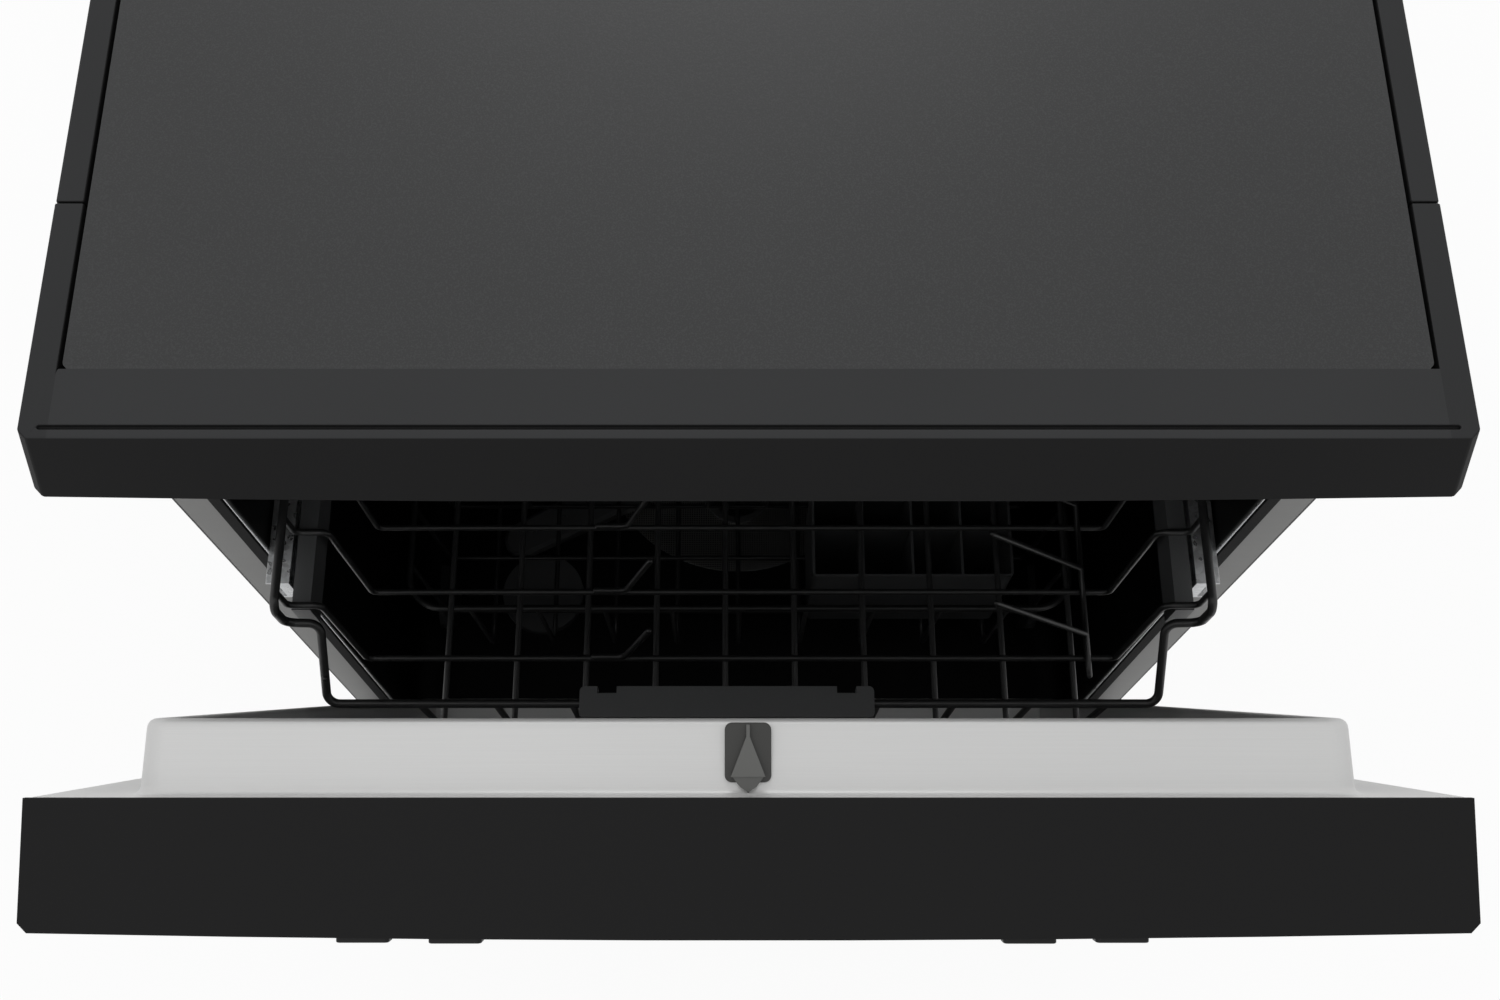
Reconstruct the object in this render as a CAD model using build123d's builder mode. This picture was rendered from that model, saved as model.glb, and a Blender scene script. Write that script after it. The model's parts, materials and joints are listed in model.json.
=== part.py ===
from build123d import *
import os
from math import cos, radians, sin

# Freestanding dishwasher, door a little open and upper rack drawn out.
# X runs to the right, Y to the back and Z up. The origin is on the floor, under the middle of
# the whole object as it stands here. All sizes are in millimetres and degrees.

os.makedirs("parts", exist_ok=True)

# Overall
WIDTH = 598.0
HEIGHT = 850.0
DEPTH = 600.0
WORKTOP_THICKNESS = 24.4
WORKTOP_LEAN = 16.7
SEAL_SETBACK = 42.0
SHEET = 1.0
SEAT_GAP = 0.3
FIT = 0.05
CUT = 5.0

# Door
DOOR_OPEN = 14.3
HINGE_HEIGHT = 105.0
DOOR_TOP_DROP = 36.0
DOOR_HEIGHT = HEIGHT - HINGE_HEIGHT - DOOR_TOP_DROP
DOOR_GAP = 3.0
DOOR_THICKNESS = 54.5
DOOR_BOW = 2.9
LINER = 1.5

# Hinge arms, between the tub and the side panels
ARM_INSET = 18.0
ARM_PLATE = 3.5
ARM_X = WIDTH / 2 - ARM_INSET

# Tub
TUB_MARGIN = 56.0
TUB_LENGTH = 505.0
TUB_FLOOR = 140.0
CEILING_DROP = 42.0
TUB_CORNER = 22.0
TUB_WIDTH = WIDTH - TUB_MARGIN
TUB_CEILING = HEIGHT - CEILING_DROP

# Upper rack, drawn out with the door: travel in millimetres for each degree of the door
RACK_TRAVEL = 5.5
RAIL_SHARE = 0.7
RAIL_DROP = 275.0
RIM_OVER_RAIL = 43.0
RACK_MARGIN = 32.0
RACK_DEPTH = 140.0
RACK_FRONT = 37.0
RACK_LENGTH = 441.0
RACK_WIDTH = TUB_WIDTH - RACK_MARGIN
RAIL_HEIGHT = HEIGHT - RAIL_DROP
RACK_RIM_HEIGHT = RAIL_HEIGHT + RIM_OVER_RAIL
RACK_FLOOR_HEIGHT = RACK_RIM_HEIGHT - RACK_DEPTH

# Lower rack
LOWER_ROOM = 54.0
LOWER_FRONT = 45.0
LOWER_LENGTH = 430.0
LOWER_RIM_HEIGHT = 320.0
LOWER_FLOOR_HEIGHT = 200.0
WHEEL_RADIUS = 18.0
LOWER_WIDTH = TUB_WIDTH - LOWER_ROOM

HALF_WIDTH = WIDTH / 2
HALF_TUB = TUB_WIDTH / 2
BODY_TOP = HEIGHT - WORKTOP_THICKNESS
BODY_DEPTH = DEPTH - WORKTOP_LEAN - SEAL_SETBACK
DOOR_FRONT = DOOR_GAP + DOOR_THICKNESS
FRONT_REACH = DOOR_HEIGHT * sin(radians(DOOR_OPEN)) + DOOR_FRONT * cos(radians(DOOR_OPEN))
SEAL_Y = (FRONT_REACH - BODY_DEPTH) / 2
BACK_Y = SEAL_Y + BODY_DEPTH
HINGE_AXIS = Axis((0, SEAL_Y, HINGE_HEIGHT), (1, 0, 0))


def upright(ahead):
    """Plane across the cabinet, so far ahead of the door seal; its sketches show X and Z."""
    return Plane.XZ.offset(ahead - SEAL_Y)


def behind(distance):
    """Y of a place so far behind the plane of the door seal."""
    return SEAL_Y + distance


def block(x_span, y_span, z_span, mode=Mode.ADD):
    """Rectangular block between two places along each axis."""
    spans = (x_span, y_span, z_span)
    middle = tuple((low + high) / 2 for low, high in spans)
    with Locations(middle):
        Box(*(abs(high - low) for low, high in spans), mode=mode)


def rod(start, direction, radius, length, mode=Mode.ADD):
    """Round bar from a place along a direction."""
    with Locations(Plane(origin=start, z_dir=direction)):
        Cylinder(radius, length, align=(Align.CENTER, Align.CENTER, Align.MIN), mode=mode)


def opened(part):
    """The piece as it hangs on the opened door, from its place on the closed one."""
    return part.rotate(HINGE_AXIS, DOOR_OPEN)


def keep(part, name):
    """Names a finished piece and writes it."""
    part.label = name
    export_step(part, f"parts/{name}.step")


# Worktop: a board set in plastic trims, the front one with a band that leans forward
TRIM_WIDTH = 12.5
TRIM_ARM = 110.0
TRIM_JOINT = 0.6
PANEL_SETBACK = 31.0
PANEL_GROOVE = 2.0
PANEL_CORNER = 3.0
PANEL_TONGUE = 14.0
LIP_BOW = 2.5
LIP_CORNER = 4.0
TOP_BOW = 0.3
LINE_SETBACK = 4.0
LINE_WIDTH = 1.6
LINE_DEPTH = 1.6
LINE_INSET = 8.0
EDGE_ROUND = 1.6

TOP_EDGE_Y = SEAL_Y - SEAL_SETBACK
LIP_Y = TOP_EDGE_Y - WORKTOP_LEAN
PANEL_FRONT_Y = TOP_EDGE_Y + PANEL_SETBACK
TRIM_INNER = HALF_WIDTH - TRIM_WIDTH


def trim_outline(front_y, bow, back_y):
    """Outline of the front trim at one height, with cut corners and a bowed front."""
    with BuildLine() as outline:
        Polyline(
            (-HALF_WIDTH + LIP_CORNER, front_y),
            (-HALF_WIDTH, front_y + LIP_CORNER),
            (-HALF_WIDTH, back_y),
            (HALF_WIDTH, back_y),
            (HALF_WIDTH, front_y + LIP_CORNER),
            (HALF_WIDTH - LIP_CORNER, front_y),
        )
        ThreePointArc(
            (HALF_WIDTH - LIP_CORNER, front_y),
            (0, front_y - bow),
            (-HALF_WIDTH + LIP_CORNER, front_y),
        )
    return outline.line


TRIM_LOW = trim_outline(LIP_Y, LIP_BOW, PANEL_FRONT_Y)
TRIM_HIGH = trim_outline(TOP_EDGE_Y, TOP_BOW, PANEL_FRONT_Y)

with BuildPart() as front_trim:
    with BuildSketch(Plane.XY.offset(BODY_TOP)):
        with BuildLine():
            add(TRIM_LOW)
        make_face()
    with BuildSketch(Plane.XY.offset(HEIGHT)):
        with BuildLine():
            add(TRIM_HIGH)
        make_face()
    loft(ruled=True)
    for hand in (-1, 1):
        block(
            (hand * TRIM_INNER, hand * HALF_WIDTH),
            (PANEL_FRONT_Y, TOP_EDGE_Y + TRIM_ARM),
            (BODY_TOP, HEIGHT),
        )
    block(
        (-HALF_WIDTH + LINE_INSET, HALF_WIDTH - LINE_INSET),
        (TOP_EDGE_Y + LINE_SETBACK, TOP_EDGE_Y + LINE_SETBACK + LINE_WIDTH),
        (HEIGHT - LINE_DEPTH, HEIGHT + CUT),
        mode=Mode.SUBTRACT,
    )
keep(front_trim.part, "worktop_front_trim")

with BuildPart() as edge_trims:
    for hand in (-1, 1):
        block(
            (hand * TRIM_INNER, hand * HALF_WIDTH),
            (TOP_EDGE_Y + TRIM_ARM + TRIM_JOINT, BACK_Y),
            (BODY_TOP, HEIGHT),
        )
    rounded = edge_trims.edges().filter_by(Axis.Y).group_by(Axis.Z)[-1].sort_by(Axis.X)
    fillet([rounded[0], rounded[-1]], EDGE_ROUND)
    block(
        (-TRIM_INNER + SEAT_GAP, TRIM_INNER - SEAT_GAP),
        (BACK_Y - TRIM_WIDTH, BACK_Y),
        (BODY_TOP, HEIGHT),
    )
keep(edge_trims.part, "worktop_edge_trims")

with BuildPart() as worktop_panel:
    with BuildSketch(Plane.XY.offset(BODY_TOP + PANEL_TONGUE)) as board:
        with Locations((0, (PANEL_FRONT_Y + BACK_Y - TRIM_WIDTH) / 2)):
            Rectangle(
                2 * (TRIM_INNER - PANEL_GROOVE),
                BACK_Y - TRIM_WIDTH - PANEL_FRONT_Y - 2 * SEAT_GAP,
            )
        fillet(board.vertices().group_by(Axis.Y)[0], PANEL_CORNER)
    extrude(amount=HEIGHT - BODY_TOP - PANEL_TONGUE)
    block(
        (-TRIM_INNER, TRIM_INNER),
        (PANEL_FRONT_Y, BACK_Y - TRIM_WIDTH),
        (BODY_TOP, BODY_TOP + PANEL_TONGUE),
    )
keep(worktop_panel.part, "worktop_panel")

# Cabinet: painted side panels with folded edges, and a back panel set in at the bottom
PANEL_BOTTOM = 30.0
PANEL_RETURN = 14.0
BACK_RECESS = 22.0
BACK_SETBACK = 1.6
BACK_STEP_HEIGHT = 150.0
BACK_MARGIN = 1.3
SCREW_HEAD = 3.6
SCREW_SHANK = 1.8
SCREW_LENGTH = 8.0
SCREW_HOLE = 1.9
SCREW_INSET = 8.0
SCREW_SHARES = (0.212, 0.447, 0.706, 0.941)

BACK_FACE_Y = BACK_Y - BACK_SETBACK
RECESS_Y = BACK_FACE_Y - BACK_RECESS
PANEL_INNER = HALF_WIDTH - SHEET

screw_places = [
    (hand * (HALF_WIDTH - SCREW_INSET), BACK_FACE_Y, share * HEIGHT)
    for hand in (-1, 1)
    for share in SCREW_SHARES
]


def screw_holes():
    """Cuts the holes of the back panel's screws."""
    for x, y, z in screw_places:
        rod((x, y - SCREW_LENGTH, z), (0, 1, 0), SCREW_HOLE, SCREW_LENGTH + CUT, mode=Mode.SUBTRACT)


for hand, name in ((-1, "left_side_panel"), (1, "right_side_panel")):
    with BuildPart() as side_panel:
        block((hand * PANEL_INNER, hand * HALF_WIDTH), (SEAL_Y, BACK_Y), (PANEL_BOTTOM, BODY_TOP))
        for edge_y in (SEAL_Y + SHEET + SEAT_GAP, BACK_FACE_Y - 2 * SHEET - SEAT_GAP):
            block(
                (hand * (HALF_WIDTH - PANEL_RETURN), hand * HALF_WIDTH),
                (edge_y, edge_y + SHEET),
                (BACK_STEP_HEIGHT, BODY_TOP),
            )
        screw_holes()
    keep(side_panel.part, name)

# Base tray with corner posts for the tub, bosses for the feet and anchors for the door springs
BASE_BOTTOM = 22.0
BASE_TOP = 98.0
BASE_WALL = 3.0
BASE_SETBACK = 20.0
BASE_FRONT_TOP = 86.0
BASE_BACK_TOP = 50.0
POST = 16.0
POST_X = 250.0
POST_BEHIND = (44.0, 470.0)
FOOT_X = 262.0
FOOT_BEHIND = (75.0, 440.0)
FOOT_BOSS = 14.0
FOOT_BOSS_TOP = 62.0
STEM_RADIUS = 5.0
ANCHOR_BEHIND = 440.0
ANCHOR_DEPTH = 12.0
ANCHOR_X = ARM_X + ARM_PLATE / 2
ANCHOR_TOP = 112.0
BASE_EDGE = HALF_WIDTH - SHEET - SEAT_GAP
BASE_FRONT_Y = behind(BASE_SETBACK)
BASE_BACK_Y = RECESS_Y - SHEET - SEAT_GAP
RIB_BEHIND = (175.0, 345.0)
RIB_HEIGHT = 12.0

with BuildPart() as base_frame:
    block((-BASE_EDGE, BASE_EDGE), (BASE_FRONT_Y, BASE_BACK_Y), (BASE_BOTTOM, BASE_TOP))
    block(
        (-BASE_EDGE + BASE_WALL, BASE_EDGE - BASE_WALL),
        (BASE_FRONT_Y + BASE_WALL, BASE_BACK_Y - BASE_WALL),
        (BASE_BOTTOM + BASE_WALL, BASE_TOP + CUT),
        mode=Mode.SUBTRACT,
    )
    block(
        (-BASE_EDGE, BASE_EDGE),
        (BASE_FRONT_Y - CUT, BASE_FRONT_Y + 2 * POST),
        (BASE_FRONT_TOP, BASE_TOP + CUT),
        mode=Mode.SUBTRACT,
    )
    block(
        (-BASE_EDGE, BASE_EDGE),
        (BASE_BACK_Y - BASE_WALL - CUT, BASE_BACK_Y + CUT),
        (BASE_BACK_TOP, BASE_TOP + CUT),
        mode=Mode.SUBTRACT,
    )
    for hand in (-1, 1):
        for post in POST_BEHIND:
            block(
                (hand * POST_X - POST / 2, hand * POST_X + POST / 2),
                (behind(post), behind(post + POST)),
                (BASE_BOTTOM, TUB_FLOOR - SHEET),
            )
        for foot in FOOT_BEHIND:
            rod((hand * FOOT_X, behind(foot), BASE_BOTTOM), (0, 0, 1), FOOT_BOSS, FOOT_BOSS_TOP - BASE_BOTTOM)
        block(
            (hand * ANCHOR_X - ANCHOR_DEPTH / 2, hand * ANCHOR_X + ANCHOR_DEPTH / 2),
            (behind(ANCHOR_BEHIND), behind(ANCHOR_BEHIND + ANCHOR_DEPTH)),
            (BASE_BOTTOM, ANCHOR_TOP),
        )
        for foot in FOOT_BEHIND:
            rod(
                (hand * FOOT_X, behind(foot), BASE_BOTTOM - CUT),
                (0, 0, 1),
                STEM_RADIUS + FIT,
                FOOT_BOSS_TOP - BASE_BOTTOM,
                mode=Mode.SUBTRACT,
            )
    for rib in RIB_BEHIND:
        block(
            (-BASE_EDGE + BASE_WALL, BASE_EDGE - BASE_WALL),
            (behind(rib), behind(rib) + BASE_WALL),
            (BASE_BOTTOM, BASE_BOTTOM + BASE_WALL + RIB_HEIGHT),
        )
keep(base_frame.part, "base_frame")

# Levelling feet
FOOT_RADIUS = 21.0
FOOT_THICKNESS = 8.0
FOOT_TAPER = 4.0
HEX_RADIUS = 9.0
HEX_SIDES = 6
HEX_HEIGHT = 8.0

with BuildPart() as feet:
    for hand in (-1, 1):
        for foot in FOOT_BEHIND:
            place = (hand * FOOT_X, behind(foot), 0)
            rod(place, (0, 0, 1), FOOT_RADIUS, FOOT_THICKNESS)
            rod(place, (0, 0, 1), STEM_RADIUS, FOOT_BOSS_TOP - 2 * FOOT_TAPER)
            with BuildSketch(Plane.XY.offset(FOOT_THICKNESS)):
                with Locations(place[:2]):
                    RegularPolygon(HEX_RADIUS, HEX_SIDES)
            extrude(amount=HEX_HEIGHT)
    chamfer(feet.edges().filter_by(GeomType.CIRCLE).group_by(Axis.Z)[1], FOOT_TAPER)
keep(feet.part, "levelling_feet")

# Kick plate in front of the base
KICK_BOTTOM = 6.0
KICK_TOP = 88.0
KICK_THICKNESS = 2.4
KICK_LIP = 12.0

with BuildPart() as kick_plate:
    kick_y = BASE_FRONT_Y - KICK_THICKNESS - SEAT_GAP
    block((-BASE_EDGE, BASE_EDGE), (kick_y, kick_y + KICK_THICKNESS), (KICK_BOTTOM, KICK_TOP))
    block(
        (-BASE_EDGE + KICK_LIP, BASE_EDGE - KICK_LIP),
        (kick_y - KICK_THICKNESS / 2, kick_y),
        (KICK_BOTTOM + KICK_LIP, KICK_TOP - KICK_LIP),
    )
keep(kick_plate.part, "kick_plate")

# Water and power connections at the back
INLET_X = -200.0
INLET_HEIGHT = 100.0
INLET_BODY = 42.0
INLET_RADIUS = 13.2
INLET_LENGTH = 16.0
COLLAR_EXTRA = 2.0
COLLAR_PROUD = 1.0
DRAIN_X = -94.0
DRAIN_HEIGHT = 88.0
SPIGOT_RADIUS = 9.5
SPIGOT_LENGTH = 16.0
GLAND_X = 200.0
GLAND_HEIGHT = 95.0
GLAND_RADIUS = 11.0
GLAND_NECK = 8.0
GLAND_BORE = 4.0
GLAND_LENGTH = 12.0
HOLE_ROOM = 0.4
RECESS_HALF = HALF_WIDTH - PANEL_RETURN - SEAT_GAP
VENT_COLUMNS = 10
VENT_PITCH = 16.0
VENT_LENGTH = 60.0
VENT_WIDTH = 5.0
VENT_DROP = 210.0

with BuildPart() as back_panel:
    block(
        (-HALF_WIDTH + BACK_MARGIN, HALF_WIDTH - BACK_MARGIN),
        (BACK_FACE_Y - SHEET, BACK_FACE_Y),
        (BACK_STEP_HEIGHT, BODY_TOP - SEAT_GAP),
    )
    block((-RECESS_HALF, RECESS_HALF), (RECESS_Y - SHEET, RECESS_Y), (PANEL_BOTTOM, BACK_STEP_HEIGHT))
    block(
        (-RECESS_HALF, RECESS_HALF),
        (RECESS_Y - SHEET, BACK_FACE_Y),
        (BACK_STEP_HEIGHT, BACK_STEP_HEIGHT + SHEET),
    )
    for place_x, place_z, radius in (
        (INLET_X, INLET_HEIGHT, INLET_RADIUS + COLLAR_EXTRA),
        (DRAIN_X, DRAIN_HEIGHT, SPIGOT_RADIUS + COLLAR_EXTRA),
        (GLAND_X, GLAND_HEIGHT, GLAND_NECK),
    ):
        rod(
            (place_x, RECESS_Y - SHEET - CUT, place_z),
            (0, 1, 0),
            radius + HOLE_ROOM,
            SHEET + 2 * CUT,
            mode=Mode.SUBTRACT,
        )
    with BuildSketch(upright(-BODY_DEPTH + BACK_SETBACK)):
        with Locations((0, HEIGHT - VENT_DROP)):
            with GridLocations(VENT_PITCH, 0, VENT_COLUMNS, 1):
                SlotOverall(VENT_LENGTH, VENT_WIDTH, rotation=90)
    extrude(amount=2 * SHEET, mode=Mode.SUBTRACT)
    screw_holes()
keep(back_panel.part, "back_panel")

with BuildPart() as inlet_valve:
    block(
        (INLET_X - INLET_BODY / 2, INLET_X + INLET_BODY / 2),
        (RECESS_Y - SHEET - SEAT_GAP - INLET_BODY, RECESS_Y - SHEET - SEAT_GAP),
        (INLET_HEIGHT - INLET_BODY / 2, INLET_HEIGHT + INLET_BODY / 2),
    )
    rod(
        (INLET_X, RECESS_Y - SHEET - SEAT_GAP, INLET_HEIGHT),
        (0, 1, 0),
        INLET_RADIUS + COLLAR_EXTRA,
        SHEET + SEAT_GAP + COLLAR_PROUD,
    )
    rod((INLET_X, RECESS_Y + COLLAR_PROUD, INLET_HEIGHT), (0, 1, 0), INLET_RADIUS, INLET_LENGTH)
    rod(
        (INLET_X, RECESS_Y - SHEET - INLET_BODY / 2, INLET_HEIGHT + INLET_BODY / 2),
        (0, 0, 1),
        GLAND_RADIUS,
        GLAND_LENGTH,
    )
    rod(
        (INLET_X, RECESS_Y - INLET_BODY / 2, INLET_HEIGHT),
        (0, 1, 0),
        SPIGOT_RADIUS,
        INLET_BODY,
        mode=Mode.SUBTRACT,
    )
keep(inlet_valve.part, "inlet_valve")

with BuildPart() as power_gland:
    rod((GLAND_X, RECESS_Y, GLAND_HEIGHT), (0, 1, 0), GLAND_RADIUS, GLAND_LENGTH)
    rod((GLAND_X, RECESS_Y - SHEET - GLAND_NECK, GLAND_HEIGHT), (0, 1, 0), GLAND_NECK, GLAND_LENGTH)
    rod(
        (GLAND_X, RECESS_Y - GLAND_LENGTH, GLAND_HEIGHT),
        (0, 1, 0),
        GLAND_BORE,
        3 * GLAND_LENGTH,
        mode=Mode.SUBTRACT,
    )
    outer_rim = power_gland.edges().filter_by(GeomType.CIRCLE).group_by(Axis.Y)[-1].sort_by(SortBy.RADIUS)[-1]
    chamfer(outer_rim, GLAND_BORE / 4)
keep(power_gland.part, "power_gland")

# Tub: pressed steel, with the front flange, roller pins on its walls and ears for the catch
FLANGE_BOTTOM = 118.0
SUMP_BEHIND = 250.0
SUMP_HOLE = 112.0
SALT_X = -165.0
SALT_BEHIND = 110.0
SALT_HOLE = 27.0
TUB_ROLLER_BEHIND = (45.0, 125.0)
ROLLER_RADIUS = 11.5
ROLLER_WIDTH = 5.0
ROLLER_PIN = 3.0
ROLLER_SIDE = 1.7
CATCH_BEHIND = 45.0
CATCH_RISE = 8.0
CATCH_PIN = 2.0
CATCH_WIDTH = 16.0
CATCH_SLOT = 24.0
CATCH_SLOT_BEHIND = (4.0, 32.0)
HINGE_SLOT_ROOM = 1.5
HINGE_SLOT_TALL = 22.0
EAR_THICKNESS = 2.0
EAR_LENGTH = 8.0

CATCH_HEIGHT = TUB_CEILING + CATCH_RISE
TUB_TALL = TUB_CEILING - TUB_FLOOR
TUB_MIDDLE = (TUB_CEILING + TUB_FLOOR) / 2
FLANGE_TOP = BODY_TOP - SEAT_GAP
FLANGE_HALF = HALF_WIDTH - SHEET - SEAT_GAP / 2
PIN_REACH = ROLLER_SIDE + ROLLER_WIDTH + FIT

with BuildPart() as tub:
    with BuildSketch(upright(0)):
        with Locations((0, (FLANGE_BOTTOM + FLANGE_TOP) / 2)):
            Rectangle(2 * FLANGE_HALF, FLANGE_TOP - FLANGE_BOTTOM)
        with Locations((0, TUB_MIDDLE)):
            RectangleRounded(TUB_WIDTH, TUB_TALL, TUB_CORNER, mode=Mode.SUBTRACT)
    extrude(amount=-SHEET)
    with BuildSketch(upright(0)):
        with Locations((0, TUB_MIDDLE)):
            RectangleRounded(TUB_WIDTH + 2 * SHEET, TUB_TALL + 2 * SHEET, TUB_CORNER + SHEET)
            RectangleRounded(TUB_WIDTH, TUB_TALL, TUB_CORNER, mode=Mode.SUBTRACT)
    extrude(amount=-TUB_LENGTH)
    with BuildSketch(upright(-TUB_LENGTH)):
        with Locations((0, TUB_MIDDLE)):
            RectangleRounded(TUB_WIDTH + 2 * SHEET, TUB_TALL + 2 * SHEET, TUB_CORNER + SHEET)
    extrude(amount=-SHEET)
    rod((0, behind(SUMP_BEHIND), TUB_FLOOR - CUT), (0, 0, 1), SUMP_HOLE, 2 * CUT, mode=Mode.SUBTRACT)
    rod(
        (SALT_X, behind(SALT_BEHIND), TUB_FLOOR - CUT),
        (0, 0, 1),
        SALT_HOLE,
        2 * CUT,
        mode=Mode.SUBTRACT,
    )
    block(
        (-CATCH_SLOT / 2, CATCH_SLOT / 2),
        (behind(CATCH_SLOT_BEHIND[0]), behind(CATCH_SLOT_BEHIND[1])),
        (TUB_CEILING - CUT, TUB_CEILING + CUT),
        mode=Mode.SUBTRACT,
    )
    for hand in (-1, 1):
        block(
            (hand * (ARM_X - HINGE_SLOT_ROOM), hand * (ARM_X + ARM_PLATE + HINGE_SLOT_ROOM)),
            (behind(-CUT), behind(SHEET + CUT)),
            (FLANGE_BOTTOM - CUT, FLANGE_BOTTOM + HINGE_SLOT_TALL),
            mode=Mode.SUBTRACT,
        )
        for roller in TUB_ROLLER_BEHIND:
            rod((hand * HALF_TUB, behind(roller), RAIL_HEIGHT), (-hand, 0, 0), ROLLER_PIN, PIN_REACH)
        block(
            (hand * (CATCH_WIDTH / 2 + SEAT_GAP), hand * (CATCH_WIDTH / 2 + SEAT_GAP + EAR_THICKNESS)),
            (behind(CATCH_BEHIND - EAR_LENGTH / 2), behind(CATCH_BEHIND + EAR_LENGTH / 2)),
            (TUB_CEILING, CATCH_HEIGHT + EAR_LENGTH / 2),
        )
    rod(
        (-CATCH_WIDTH / 2 - EAR_THICKNESS, behind(CATCH_BEHIND), CATCH_HEIGHT),
        (1, 0, 0),
        CATCH_PIN,
        CATCH_WIDTH + 2 * EAR_THICKNESS,
    )
keep(tub.part, "tub")

# Catch over the opening, behind which the door's wedge stands when it is closed
CATCH_NOSE_BEHIND = 12.0
CATCH_NOSE = 3.0
CATCH_NOSE_DROP = 1.8
CATCH_THICKNESS = 4.0
CATCH_HUB = 4.5

with BuildPart() as catch:
    with BuildSketch(Plane.YZ.offset(-CATCH_WIDTH / 2)):
        with BuildLine():
            Polyline(
                (behind(CATCH_BEHIND), CATCH_HEIGHT - CATCH_THICKNESS / 2),
                (behind(CATCH_NOSE_BEHIND + CATCH_NOSE), CATCH_HEIGHT - CATCH_THICKNESS / 2),
                (behind(CATCH_NOSE_BEHIND + CATCH_NOSE), TUB_CEILING - CATCH_NOSE_DROP),
                (behind(CATCH_NOSE_BEHIND), TUB_CEILING - CATCH_NOSE_DROP),
                (behind(CATCH_NOSE_BEHIND - CATCH_NOSE), CATCH_HEIGHT),
                (behind(CATCH_NOSE_BEHIND), CATCH_HEIGHT + CATCH_THICKNESS / 2),
                (behind(CATCH_BEHIND), CATCH_HEIGHT + CATCH_THICKNESS / 2),
                close=True,
            )
        make_face()
        with Locations((behind(CATCH_BEHIND), CATCH_HEIGHT)):
            Circle(CATCH_HUB)
            Circle(CATCH_PIN + FIT, mode=Mode.SUBTRACT)
    extrude(amount=CATCH_WIDTH)
keep(catch.part, "door_catch")

# Rubber seal round the opening, and felt mats on the tub
GASKET_WIDTH = 7.0
GASKET_EDGE = 0.5
GASKET_BOTTOM = 150.0
MAT = 7.5
MAT_GAP = 0.3
MAT_BOTTOM = 170.0
MAT_BEHIND = 62.0
MAT_LENGTH = 418.0

with BuildPart() as gasket:
    with BuildSketch(upright(0)):
        with Locations((0, TUB_MIDDLE)):
            RectangleRounded(
                TUB_WIDTH + 2 * GASKET_EDGE + 2 * GASKET_WIDTH,
                TUB_TALL + 2 * GASKET_EDGE + 2 * GASKET_WIDTH,
                TUB_CORNER + GASKET_WIDTH,
            )
            RectangleRounded(
                TUB_WIDTH + 2 * GASKET_EDGE,
                TUB_TALL + 2 * GASKET_EDGE,
                TUB_CORNER,
                mode=Mode.SUBTRACT,
            )
        with Locations((0, GASKET_BOTTOM - TUB_TALL / 2)):
            Rectangle(WIDTH, TUB_TALL, mode=Mode.SUBTRACT)
    extrude(amount=DOOR_GAP - SEAT_GAP)
keep(gasket.part, "tub_gasket")

with BuildPart() as mats:
    with BuildSketch(upright(-MAT_BEHIND)):
        with Locations((0, TUB_MIDDLE)):
            RectangleRounded(
                TUB_WIDTH + 2 * (SHEET + MAT_GAP + MAT),
                TUB_TALL + 2 * (SHEET + MAT_GAP + MAT),
                TUB_CORNER + MAT,
            )
            RectangleRounded(
                TUB_WIDTH + 2 * (SHEET + MAT_GAP),
                TUB_TALL + 2 * (SHEET + MAT_GAP),
                TUB_CORNER + SHEET,
                mode=Mode.SUBTRACT,
            )
        with Locations((0, MAT_BOTTOM - TUB_TALL / 2)):
            Rectangle(WIDTH, TUB_TALL, mode=Mode.SUBTRACT)
    extrude(amount=-MAT_LENGTH)
keep(mats.part, "tub_insulation")

# Sump under the tub floor, with the spray arm's post and the filter's well
SUMP_FLANGE = 118.0
SUMP_TOP_RADIUS = 108.0
SUMP_RADIUS = 75.0
SUMP_WALL = 3.0
SUMP_BOTTOM = 58.0
SUMP_SHOULDER = 112.0
ARM_POST = 10.0
ARM_POST_TOP = 172.0
FILTER_AHEAD = 44.5
FILTER_RADIUS = 26.0
PORT_HEIGHT = 80.0
PORT_RADIUS = 15.0

with BuildPart() as sump:
    with BuildSketch(Plane.XZ):
        with BuildLine():
            Polyline(
                (0, SUMP_BOTTOM),
                (SUMP_RADIUS, SUMP_BOTTOM),
                (SUMP_RADIUS, SUMP_SHOULDER),
                (SUMP_TOP_RADIUS, TUB_FLOOR - SHEET - SUMP_WALL),
                (SUMP_FLANGE, TUB_FLOOR - SHEET - SUMP_WALL),
                (SUMP_FLANGE, TUB_FLOOR - SHEET),
                (SUMP_TOP_RADIUS - SUMP_WALL, TUB_FLOOR - SHEET),
                (SUMP_RADIUS - SUMP_WALL, SUMP_SHOULDER + SUMP_WALL),
                (SUMP_RADIUS - SUMP_WALL, SUMP_BOTTOM + SUMP_WALL),
                (ARM_POST, SUMP_BOTTOM + SUMP_WALL),
                (ARM_POST, ARM_POST_TOP),
                (0, ARM_POST_TOP),
                close=True,
            )
        make_face()
    revolve(axis=Axis.Z)
    rod(
        (SUMP_RADIUS - 2 * SUMP_WALL, 0, PORT_HEIGHT),
        (1, 0, 0),
        PORT_RADIUS - SUMP_WALL,
        4 * SUMP_WALL,
        mode=Mode.SUBTRACT,
    )
sump_part = sump.part.moved(Location((0, behind(SUMP_BEHIND), 0)))
keep(sump_part, "sump")

PLATE_RADIUS = 118.0
PLATE_POST_HOLE = 16.0
HANDLE_HEIGHT = 12.0
FILTER_RIM = 4.0
FILTER_DROP = 62.0
FILTER_WALL = 1.5

FILTER_Y = behind(SUMP_BEHIND - FILTER_AHEAD)

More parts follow.
